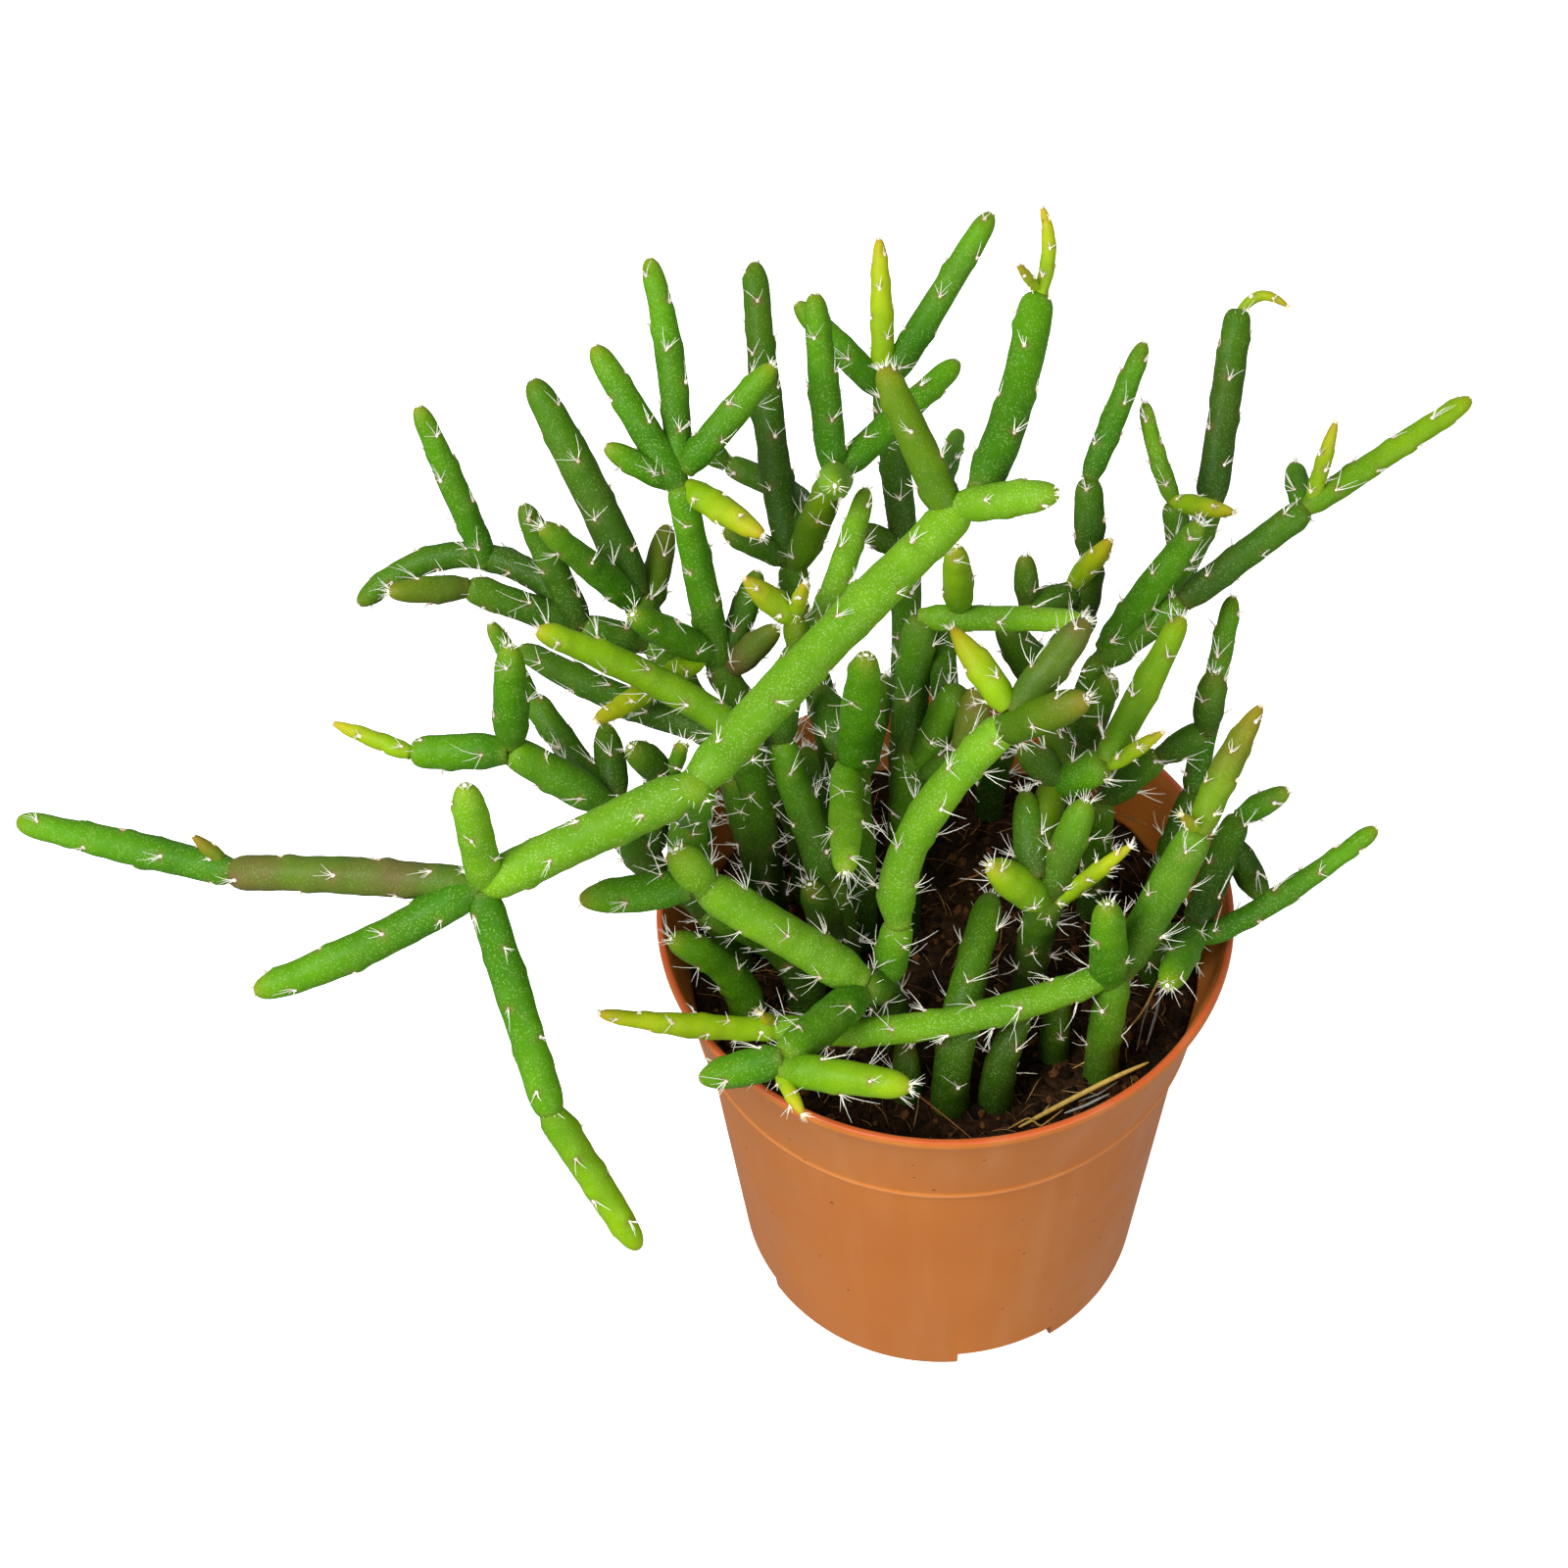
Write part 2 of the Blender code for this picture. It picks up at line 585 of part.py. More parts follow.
def keep_largest_piece(obj):
    """Drops every loose scrap of the mesh but its largest piece."""
    work = bmesh.new()
    work.from_mesh(obj.data)
    left = set(work.faces)
    groups = []
    while left:
        front = [left.pop()]
        group = set(front)
        while front:
            beside = {face for edge in front.pop().edges for face in edge.link_faces} & left
            left -= beside
            group |= beside
            front.extend(beside)
        groups.append(group)
    groups.sort(key=len)
    for scrap in groups[:-1]:
        bmesh.ops.delete(work, geom=list(scrap), context="FACES")
    work.to_mesh(obj.data)
    work.free()


def material(name, colour, roughness):
    made = bpy.data.materials.new(name)
    made.use_nodes = True
    shader = made.node_tree.nodes["Principled BSDF"]
    shader.inputs["Base Color"].default_value = (*colour, 1.0)
    shader.inputs["Roughness"].default_value = roughness
    shader.inputs["Metallic"].default_value = 0.0
    return made


def finish_part(obj, collection, finish):
    obj.data.materials.clear()
    obj.data.materials.append(finish)
    obj.data.shade_smooth()
    obj.data.set_sharp_from_angle(angle=math.radians(SMOOTH_BELOW_DEG))
    collection.objects.link(obj)


def turned(name, profile, collection):
    """A solid of revolution from a profile that starts and ends on the axis."""
    mesh = bpy.data.meshes.new(name)
    corners = [(radius * MM, 0.0, height * MM) for radius, height in profile]
    mesh.from_pydata(corners, [(i, i + 1) for i in range(len(corners) - 1)], [])
    obj = bpy.data.objects.new(name, mesh)
    collection.objects.link(obj)
    screw = obj.modifiers.new("turn", "SCREW")
    screw.axis = "Z"
    screw.steps = POT_STEPS
    screw.render_steps = POT_STEPS
    screw.use_merge_vertices = True
    screw.merge_threshold = 0.0001
    return obj


def pot_outer(height):
    """The pot's outer radius at a height."""
    heights = (0.0, BODY_TOP_HEIGHT, COLLAR_FOOT_HEIGHT, RIM_HEIGHT)
    radii = (FOOT_RADIUS, BODY_TOP_RADIUS, COLLAR_FOOT_RADIUS, RIM_RADIUS - RIM_LIP_OVERHANG)
    return float(np.interp(height, heights, radii))


def cut(obj, cutter):
    cutter.hide_render = True
    cutter.display_type = "WIRE"
    hole = obj.modifiers.new(cutter.name, "BOOLEAN")
    hole.operation = "DIFFERENCE"
    hole.object = cutter
    hole.solver = "EXACT"


def cylinder_at(work, x, y, low, high, radius, sides):
    made = bmesh.ops.create_cone(
        work,
        cap_ends=True,
        segments=sides,
        radius1=radius * MM,
        radius2=radius * MM,
        depth=(high - low) * MM,
    )
    move = Vector((x, y, (low + high) / 2)) * MM
    bmesh.ops.translate(work, verts=made["verts"], vec=move)


def cutter_of(name, work, collection):
    mesh = bpy.data.meshes.new(name)
    work.to_mesh(mesh)
    work.free()
    obj = bpy.data.objects.new(name, mesh)
    collection.objects.link(obj)
    return obj


def add_pot(parts, cutters):
    lip_foot = RIM_HEIGHT - RIM_LIP_HEIGHT
    inside = RIM_RADIUS - RIM_LIP_OVERHANG - WALL
    collar_start = COLLAR_FOOT_HEIGHT + COLLAR_BLEND
    profile = [
        (0.0, FLOOR),
        (pot_outer(FLOOR) - WALL, FLOOR),
        (BODY_TOP_RADIUS - WALL, BODY_TOP_HEIGHT),
        (COLLAR_FOOT_RADIUS - WALL, collar_start),
        (inside, RIM_HEIGHT - RIM_EDGE),
        (inside + RIM_EDGE, RIM_HEIGHT),
        (RIM_RADIUS - RIM_EDGE, RIM_HEIGHT),
        (RIM_RADIUS, RIM_HEIGHT - RIM_EDGE),
        (RIM_RADIUS, lip_foot + LIP_SLOPE),
        (pot_outer(lip_foot), lip_foot - LIP_SLOPE),
        (pot_outer(collar_start), collar_start),
        (COLLAR_FOOT_RADIUS + BEAD_PROUD, COLLAR_FOOT_HEIGHT),
        (COLLAR_FOOT_RADIUS, COLLAR_FOOT_HEIGHT - COLLAR_BLEND),
        (BODY_TOP_RADIUS, BODY_TOP_HEIGHT),
        (pot_outer(FOOT_CHAMFER), FOOT_CHAMFER),
        (FOOT_RADIUS - FOOT_CHAMFER, 0.0),
        (0.0, 0.0),
    ]
    pot = turned("pot", profile, parts)
    channels = bmesh.new()
    drains = bmesh.new()
    for index in range(CHANNEL_COUNT):
        angle = math.radians(CHANNEL_FIRST_DEG + index * 360.0 / CHANNEL_COUNT)
        length = RIM_RADIUS - CHANNEL_INNER_RADIUS
        middle = Vector((CHANNEL_INNER_RADIUS + length / 2, 0.0, 0.0)) * MM
        box = bmesh.ops.create_cube(channels, size=1.0)["verts"]
        size = Vector((length, CHANNEL_WIDTH, 2 * CHANNEL_HEIGHT)) * MM
        bmesh.ops.scale(channels, verts=box, vec=size)
        bmesh.ops.translate(channels, verts=box, vec=middle)
        bmesh.ops.rotate(channels, verts=box, cent=(0, 0, 0), matrix=Matrix.Rotation(angle, 3, "Z"))
        x = math.cos(angle) * DRAIN_AT_RADIUS
        y = math.sin(angle) * DRAIN_AT_RADIUS
        low = CHANNEL_HEIGHT - DRAIN_OVERRUN
        cylinder_at(drains, x, y, low, FLOOR + DRAIN_OVERRUN, DRAIN_RADIUS, DRAIN_SIDES)
    cut(pot, cutter_of("foot_channels", channels, cutters))
    cut(pot, cutter_of("drain_holes", drains, cutters))
    parts.objects.unlink(pot)
    finish_part(pot, parts, material("terracotta plastic", POT_COLOUR, POT_ROUGHNESS))


def soil_bump(x, y):
    return SOIL_BUMP * math.sin(SOIL_WAVE_X * x + SOIL_WAVE_START) * math.cos(SOIL_WAVE_Y * y)


def add_soil(parts, cutters):
    def edge_at(height):
        return pot_outer(height) - WALL - GAP

    shoulder = COLLAR_FOOT_HEIGHT + COLLAR_BLEND
    profile = [(radius, SOIL_TOP) for radius in SOIL_RINGS]
    profile += [
        (edge_at(SOIL_TOP - SOIL_EDGE_DROP), SOIL_TOP - SOIL_EDGE_DROP),
        (COLLAR_FOOT_RADIUS - WALL - GAP, shoulder),
        (edge_at(BODY_TOP_HEIGHT), BODY_TOP_HEIGHT),
        (edge_at(FLOOR), FLOOR + GAP),
        (0.0, FLOOR + GAP),
    ]
    soil = take_mesh(turned("soil_turned", profile, parts), "soil")
    weld(soil.data)
    for vertex in soil.data.vertices:
        x, y, z = vertex.co / MM
        if z > SOIL_TOP - WELD:
            vertex.co.z += soil_bump(x, y) * MM
    holes = bmesh.new()
    for shoots in STEMS.values():
        x, y = shoots[0].start
        radius = shoots[0].width / 2 * ROOT_TAPER[0][1] + GAP
        radius /= math.cos(math.pi / HOLE_SIDES)
        cylinder_at(holes, x, y, SOIL_TOP - HOLE_DEPTH, SOIL_TOP + HOLE_OVERRUN, radius, HOLE_SIDES)
    cut(soil, cutter_of("stem_holes", holes, cutters))
    finish_part(soil, parts, material("peat", SOIL_COLOUR, SOIL_ROUGHNESS))


def skin_of(name):
    """A stem's material, in the colour that most of its shoots have."""
    tints = [one.tint for one in STEMS[name]]
    commonest = sorted(set(tints), key=tints.count)[-1]
    return material(name + " skin", SKINS[commonest], SKIN_ROUGHNESS)


def add_stems(parts, helpers):
    grown = {name: grow(shoots) for name, shoots in STEMS.items()}
    balls = {
        name: np.vstack([np.column_stack((limb.points, limb.radii)) for limb in limbs])
        for name, limbs in grown.items()
    }
    rng = random.Random(SEED)
    for name, limbs in grown.items():
        pieces = []
        needles = [balls[name]]
        others = np.vstack([rows for other, rows in balls.items() if other != name])
        for index, limb in enumerate(limbs):
            pieces.append(limb_tube(f"{name}_{index}", limb, index == 0, helpers))
            for root, direction, length in bristle_places(limb, rng):
                needle = root + direction * length * np.array(NEEDLE_SHARES)[:, None]
                if keeps_off_pot(needle) and stays_clear(needle, others):
                    needles.append(np.column_stack((needle, np.zeros(len(needle)))))
                    add_bristle(helpers, root, direction, length)
        balls[name] = np.vstack(needles)
        helpers.objects.unlink(pieces[0])
        parts.objects.link(pieces[0])
        stem = joined(pieces[0], helpers, name)
        keep_largest_piece(stem)
        finish_part(stem, parts, skin_of(name))


def main():
    for obj in list(bpy.data.objects):
        bpy.data.objects.remove(obj)
    parts = bpy.data.collections.new("mistletoe_cactus")
    cutters = bpy.data.collections.new("cutters")
    helpers = bpy.data.collections.new("helpers")
    for collection in (parts, cutters, helpers):
        bpy.context.scene.collection.children.link(collection)
    add_pot(parts, cutters)
    add_soil(parts, cutters)
    add_stems(parts, helpers)
    bpy.data.collections.remove(helpers)


main()
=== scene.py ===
"""Looks of the potted mistletoe cactus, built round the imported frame.

Each rooted stem of the frame is replaced by a finer one that grows along the same
lines, with its areoles, bristles and tip wool. The pot and the soil are replaced by
finer ones of the same size. Lengths are in millimetres until MM turns them into
Blender's metres. The origin is the centre of the pot's foot, and +Z is up.
"""

import functools
import math
from collections import namedtuple

import bmesh
import bpy
import numpy as np
from mathutils import Matrix, Vector


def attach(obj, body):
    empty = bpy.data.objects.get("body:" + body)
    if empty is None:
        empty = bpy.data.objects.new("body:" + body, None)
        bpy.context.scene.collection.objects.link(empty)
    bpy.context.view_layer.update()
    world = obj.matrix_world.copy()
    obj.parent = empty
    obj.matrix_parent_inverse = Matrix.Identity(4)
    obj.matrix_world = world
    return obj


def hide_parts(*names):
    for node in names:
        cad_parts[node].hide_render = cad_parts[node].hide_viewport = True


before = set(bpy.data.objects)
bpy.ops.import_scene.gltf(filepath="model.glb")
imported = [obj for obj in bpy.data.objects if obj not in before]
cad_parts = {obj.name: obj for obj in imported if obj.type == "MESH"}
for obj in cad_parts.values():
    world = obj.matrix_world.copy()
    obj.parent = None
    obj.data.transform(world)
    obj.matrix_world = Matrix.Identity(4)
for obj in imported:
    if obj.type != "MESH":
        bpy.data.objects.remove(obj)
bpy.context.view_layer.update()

MM = 0.001
TURN = 2 * math.pi
BODY = "root"

# The view, the same as the one that the pixel positions below belong to.
PHOTO_WIDTH_PX = 1600
LENS_PX = 3759.0
SENSOR_MM = 36.0
CAMERA_DISTANCE = 550.0
CAMERA_ELEVATION_DEG = 50.34
CAMERA_ROLL_DEG = -1.92
AIM_POINT = (-24.37, 0.0, 114.11)

# The pot and the soil, as in the frame.
RIM_RADIUS = 45.0
RIM_HEIGHT = 83.5
RIM_LIP_HEIGHT = 1.6
RIM_LIP_OVERHANG = 0.5
COLLAR_FOOT_RADIUS = 39.9
COLLAR_FOOT_HEIGHT = 62.0
BEAD_PROUD = 0.35
BODY_TOP_RADIUS = 39.0
BODY_TOP_HEIGHT = 60.6
FOOT_RADIUS = 33.0
WALL = 1.3
FLOOR = 5.6
CHANNEL_COUNT = 4
CHANNEL_FIRST_DEG = -73.2
CHANNEL_WIDTH = 16.6
CHANNEL_HEIGHT = 4.2
CHANNEL_INNER_RADIUS = 13.0
DRAIN_RADIUS = 3.0
DRAIN_AT_RADIUS = 24.0
SOIL_TOP = 70.0
HOLE_DEPTH = 12.0
GAP = 0.35
FREE_HEIGHT = 2.0
ROOT_LIFT = 0.5
SEAT_SHARE = 0.6
SAMPLES = 17
TAPER = ((0.0, 0.72), (0.20, 1.0), (0.84, 0.88), (1.0, 0.38))
ROOT_TAPER = ((0.0, 0.92), (0.34, 1.0), (0.66, 1.0), (0.92, 0.84), (1.0, 0.50))

Shoot = namedtuple("Shoot", "start tip near width tint via", defaults=("dark", None))
Limb = namedtuple("Limb", "points radii bend shoot first")

# Each row is a shoot: the pixels where it starts and ends, how much nearer the camera than the aim
# point its tip is, its width, its tint, and a pixel that it passes. A stem's first shoot starts from
# the place of its hole in the soil instead.
STEMS = {}
STEMS["stem_left_arm"] = (
    ((-22, -8), (715, 925), -8, 6.2),
    ((715, 925), (706, 828), 5, 6.2, "dark", (703, 878)),
    ((706, 828), (708, 802), 44, 6.2, "green"),
    ((708, 802), (490, 905), 30, 6.3, "light"),
    ((482, 908), (474, 801), 44, 5.4, "light"),
    ((484, 905), (234, 891), 22, 5.4, "purple", (348, 893)),
    ((232, 889), (18, 838), 10, 4.9, "green"),
    ((229, 880), (196, 852), 26, 2.1, "red"),
    ((488, 902), (259, 1012), 30, 5.4, "green", (378, 964)),
    ((491, 908), (563, 1139), 24, 5.2, "green"),
    ((561, 1138), (652, 1274), 12, 4.7, "fresh"),
    ((708, 802), (983, 517), 34, 6.3, "light", (843, 657)),
    ((983, 515), (900, 374), 38, 5.1, "olive"),
    ((985, 514), (1080, 503), 44, 5.3, "light"),
    ((998, 500), (1059, 300), 26, 5.4, "green", (1034, 414)),
    ((1060, 300), (1063, 211), 30, 2.1, "yellow", (1070, 257)),
    ((1054, 296), (1038, 269), 34, 1.4, "yellow"),
    ((945, 520), (978, 441), 14, 3.2, "green"),
)
STEMS["stem_front"] = (
    ((-9, -15), (882, 1008), 0, 6.0),
    ((875, 996), (716, 903), 10, 6.5, "light"),
    ((712, 904), (690, 866), 16, 6.0, "light"),
    ((700, 908), (591, 918), 12, 5.5, "green"),
    ((880, 1012), (800, 1078), 12, 5.9, "green"),
    ((796, 1090), (714, 1101), 6, 5.4, "green"),
    ((799, 1092), (930, 1109), 18, 5.2, "fresh"),
    ((794, 1104), (820, 1138), 16, 2.2, "yellow"),
    ((904, 1000), (917, 942), 2, 5.4, "green"),
    ((917, 942), (1030, 737), 20, 5.6, "light", (936, 848)),
    ((1028, 732), (1110, 713), 32, 5.5, "olive"),
    ((1034, 722), (1110, 632), 26, 5.3, "purple"),
    ((1030, 722), (971, 640), 22, 4.4, "yellow"),
)
STEMS["stem_front_right"] = (
    ((23, -23.5), (1140, 992), -4, 5.4, "shade"),
    ((1132, 1000), (1130, 922), 12, 5.8, "green"),
    ((1144, 990), (1224, 846), 8, 6.0, "shade"),
    ((1226, 847), (1287, 720), 10, 4.6, "red", (1252, 782)),
    ((1222, 846), (1205, 831), 14, 1.8, "yellow"),
    ((1132, 994), (785, 1048), -2, 4.5, "light", (950, 1046)),
    ((786, 1050), (611, 1034), 2, 3.7, "yellow", (700, 1046)),
    ((790, 1046), (776, 1034), 2, 2.0, "yellow"),
)
STEMS["stem_right_low"] = (
    ((33, -5), (1222, 958), -12, 5.0),
    ((1222, 958), (1405, 845), -10, 3.5, "green", (1292, 924)),
    ((1218, 950), (1191, 1006), 2, 5.1, "green"),
    ((1218, 950), (1264, 832), -18, 4.8),
    ((1264, 834), (1315, 806), -14, 3.7, "green"),
    ((1255, 858), (1290, 918), -20, 4.9),
)
STEMS["stem_right_mid"] = (
    ((13, -8), (1072, 918), 0, 5.5),
    ((1074, 924), (1154, 863), 8, 2.5, "yellow"),
    ((1066, 922), (1010, 882), 8, 5.6, "fresh"),
    ((1068, 912), (1109, 816), 8, 5.5, "shade"),
    ((1050, 890), (1078, 796), 0, 5.0, "olive"),
    ((1078, 806), (1128, 776), 6, 5.4, "green"),
    ((1128, 778), (1207, 629), 4, 4.5, "fresh"),
    ((1132, 782), (1187, 747), 12, 2.2, "yellow"),
    ((1088, 798), (1040, 763), 0, 5.0),
    ((1094, 790), (1066, 744), -6, 4.4, "olive"),
    ((1056, 896), (1046, 806), 2, 5.0),
)
STEMS["stem_right_back"] = (
    ((24, 8), (1124, 818), -16, 4.8),
    ((1124, 818), (1184, 770), -14, 4.6),
    ((1184, 772), (1231, 745), -12, 4.3),
    ((1230, 746), (1239, 685), -6, 4.9),
)
STEMS["stem_right_tall"] = (
    ((33, 3), (1218, 806), -24, 4.0),
    ((1220, 806), (1258, 608), -24, 3.8, "green"),
)
STEMS["stem_back_right"] = (
    ((20, 24), (1124, 672), -18, 4.8),
    ((1124, 670), (1208, 613), -14, 4.6, "shade"),
    ((1208, 613), (1334, 518), -10, 4.6),
    ((1334, 516), (1501, 407), -12, 3.8, "fresh"),
    ((1338, 512), (1363, 430), -4, 2.4, "yellow"),
    ((1330, 520), (1320, 474), -20, 3.8, "green"),
    ((1126, 662), (1226, 533), -6, 4.8, "green"),
    ((1130, 668), (1237, 512), -34, 4.5, "dark", (1194, 600)),
    ((1240, 508), (1264, 315), -32, 5.0),
    ((1266, 316), (1314, 313), -30, 1.6, "yellow", (1286, 302)),
    ((1206, 570), (1197, 512), -26, 4.2),
    ((1198, 512), (1168, 410), -24, 2.9, "light", (1180, 462)),
    ((1198, 512), (1260, 523), -18, 3.0, "yellow"),
    ((1104, 772), (1134, 690), -14, 4.6),
)
STEMS["stem_back_inner"] = (
    ((9, 29), (1114, 624), -28, 4.8),
    ((1114, 624), (1113, 568), -24, 4.7),
    ((1112, 566), (1111, 488), -22, 4.7),
    ((1111, 490), (1168, 349), -20, 3.8, "green"),
    ((1108, 604), (1046, 616), -24, 4.2),
    ((1048, 616), (1046, 566), -20, 4.0),
    ((1094, 598), (1134, 550), -16, 3.5, "yellow"),
    ((1072, 706), (1024, 636), -16, 6.0),
)
STEMS["stem_mid"] = (
    ((-0.5, -28), (1012, 912), -14, 6.0, "shade", (986, 1015)),
)
STEMS["stem_centre_right"] = (
    ((-6, 7), (927, 764), -8, 5.6),
    ((927, 764), (940, 630), 0, 5.4, "dark", (932, 690)),
    ((938, 622), (1106, 632), 6, 3.9, "light"),
    ((979, 618), (975, 557), 12, 4.4, "fresh"),
    ((924, 806), (978, 704), 2, 5.3, "shade"),
    ((940, 786), (988, 780), -2, 5.0),
    ((986, 780), (996, 702), 4, 5.2, "olive"),
    ((966, 726), (958, 630), -8, 4.4),
)
STEMS["stem_centre_left"] = (
    ((-13, 4), (868, 778), -2, 5.4),
    ((872, 776), (884, 668), 18, 5.8, "green"),
    ((864, 772), (837, 700), -8, 5.3),
    ((864, 782), (862, 891), 14, 5.1, "light"),
    ((872, 800), (902, 688), -13, 5.2),
)
STEMS["stem_centre"] = (
    ((-16, -3.2), (846, 900), -12, 5.6),
    ((845, 902), (794, 753), -4, 5.2, "shade"),
    ((856, 960), (826, 902), -8, 5.8),
    ((844, 894), (822, 762), -21, 4.4),
    ((794, 755), (812, 662), 8, 4.6),
    ((812, 662), (811, 628), 10, 3.6, "olive"),
    ((811, 632), (759, 590), 16, 4.1, "yellow"),
    ((811, 624), (822, 594), 20, 2.2, "yellow"),
    ((816, 662), (884, 498), 0, 4.1, "light", (848, 610)),
)
STEMS["stem_top_centre"] = (
    ((-15, 20), (806, 604), -16, 4.8),
    ((806, 602), (810, 574), -14, 4.7),
    ((808, 572), (770, 267), -16, 4.9, "dark", (784, 425)),
    ((812, 578), (852, 486), -2, 4.9, "olive"),
    ((852, 484), (852, 496), 18, 5.0, "light"),
    ((850, 482), (831, 299), 6, 4.6, "green"),
    ((862, 480), (978, 369), -10, 4.4, "green"),
    ((806, 570), (738, 541), -14, 4.2),
    ((824, 540), (814, 505), -24, 4.2),
    ((816, 506), (742, 473), -26, 4.2),
    ((742, 473), (706, 445), -24, 3.6, "green"),
)
STEMS["stem_top_right"] = (
    ((-5, 28), (926, 560), -24, 4.8),
    ((926, 560), (903, 396), -18, 4.6),
    ((903, 396), (812, 309), -16, 4.4, "green"),
    ((907, 384), (897, 243), -14, 3.6, "yellow"),
    ((910, 388), (1012, 217), -16, 4.4, "green"),
    ((924, 562), (876, 538), -20, 3.8),
)
STEMS["stem_left_back"] = (
    ((-21, 13), (728, 676), -8, 5.0),
    ((722, 672), (694, 494), 8, 4.8, "green"),
    ((692, 490), (606, 353), 8, 4.7, "green"),
    ((694, 480), (662, 264), 0, 4.3, "green", (684, 368)),
    ((704, 478), (790, 372), 14, 4.5, "green"),
    ((686, 494), (617, 455), 10, 3.9, "green"),
    ((706, 496), (780, 547), 16, 4.3, "yellow"),
    ((716, 670), (645, 627), 14, 4.9, "green"),
    ((718, 668), (607, 736), 10, 3.7, "yellow", (656, 707)),
    ((742, 684), (794, 640), -3, 4.5, "purple"),
    ((740, 676), (774, 582), -6, 4.3),
)
STEMS["stem_left_mid"] = (
    ((-27, 5), (752, 742), 4, 5.0),
    ((752, 736), (547, 643), 16, 4.7, "fresh", (660, 690)),
    ((748, 750), (530, 661), -16, 4.8, "dark", (640, 716)),
    ((792, 930), (746, 790), -6, 5.6),
)
STEMS["stem_left_upper"] = (
    ((-29, 15), (664, 650), -12, 5.0),
    ((664, 650), (648, 606), -10, 5.2),
    ((650, 608), (542, 387), -4, 5.8, "dark", (605, 506)),
    ((652, 618), (552, 536), 6, 4.5, "green"),
    ((662, 622), (681, 536), -16, 4.3, "olive"),
    ((660, 656), (592, 640), -10, 5.0),
    ((594, 640), (533, 514), -4, 4.5),
    ((590, 638), (476, 599), -6, 4.8),
    ((476, 599), (396, 604), -2, 4.2, "olive"),
    ((590, 622), (366, 617), -16, 4.3, "dark", (476, 566)),
    ((497, 578), (426, 414), -2, 4.1, "green"),
)
STEMS["stem_left_low"] = (
    ((-33, -1), (668, 892), -12, 5.4),
    ((668, 892), (618, 820), 2, 5.5),
    ((618, 820), (519, 764), 12, 5.6, "green"),
    ((518, 766), (419, 768), 10, 5.4, "green"),
    ((420, 769), (340, 738), 8, 2.6, "yellow"),
    ((522, 760), (520, 658), 22, 5.3, "green"),
    ((628, 830), (542, 712), -6, 4.4),
    ((542, 714), (500, 635), 2, 3.0, "green"),
    ((634, 812), (617, 738), -4, 4.8),
    ((662, 868), (676, 788), 2, 5.0),
    ((678, 790), (643, 762), 10, 4.9),
    ((686, 800), (698, 756), 10, 2.4, "green"),
    ((692, 906), (722, 828), -24, 5.0),
)
STEMS["stem_left_short"] = (
    ((-31.3, -11.5), (684, 958), -6, 5.6, "green", (717, 1004)),
)
STEMS["stem_front_short_a"] = (
    ((-7, -26), (922, 1058), -14, 5.0),
)
STEMS["stem_front_short_c"] = (
    ((16, -19.5), (1084, 1010), -14, 4.8),
)
STEMS["stem_front_short_b"] = (
    ((6.5, -28), (1046, 1026), -10, 5.4),
)


def camera_axes():
    """The photograph's right and up, and the way back to the camera, as unit vectors."""
    elevation = math.radians(CAMERA_ELEVATION_DEG)
    roll = math.radians(CAMERA_ROLL_DEG)
    back = np.array((0.0, -math.cos(elevation), math.sin(elevation)))
    level_right = np.array((1.0, 0.0, 0.0))
    level_up = np.cross(level_right, -back)
    right = math.cos(roll) * level_right + math.sin(roll) * level_up
    up = -math.sin(roll) * level_right + math.cos(roll) * level_up
    return right, up, back


RIGHT, UP, BACK = camera_axes()


def at_pixel(pixel, near):
    """The point that shows at this pixel, this much nearer the camera than the aim point."""
    depth = CAMERA_DISTANCE - near
    across = (pixel[0] - PHOTO_WIDTH_PX / 2) * depth / LENS_PX
    above = (PHOTO_WIDTH_PX / 2 - pixel[1]) * depth / LENS_PX
    return np.array(AIM_POINT) + across * RIGHT + above * UP + near * BACK


def seen_at(point):
    """Where a point shows in the photograph, and how near it is."""
    offset = np.asarray(point) - np.array(AIM_POINT)
    near = offset @ BACK
    scale = LENS_PX / (CAMERA_DISTANCE - near)
    across = PHOTO_WIDTH_PX / 2 + scale * (offset @ RIGHT)
    down = PHOTO_WIDTH_PX / 2 - scale * (offset @ UP)
    return np.array((across, down)), near


def bent_line(start, bend, tip, share):
    """Points along the smooth curve from start to tip that is pulled towards bend."""
    share = share[:, None]
    return (1 - share) ** 2 * start + 2 * share * (1 - share) * bend + share**2 * tip


def seat_on(limbs, pixel):
    """The point in an earlier shoot, short of its tip, that shows nearest the pixel, and which shoot.

    It is moved towards the pixel but kept inside the shoot.
    """
    best = None
    for index, limb in enumerate(limbs):
        for place, (point, radius) in enumerate(zip(limb.points[:-1], limb.radii)):
            shown, near = seen_at(point)
            apart = math.hypot(*(shown - pixel))
            if best is None or apart < best[0]:
                best = (apart, point, radius, near, index, place)
    _, point, radius, near, index, place = best
    wanted = at_pixel(pixel, near) - point
    reach = max(np.linalg.norm(wanted), 0.01)
    return point + wanted * min(1.0, SEAT_SHARE * radius / reach), index, place


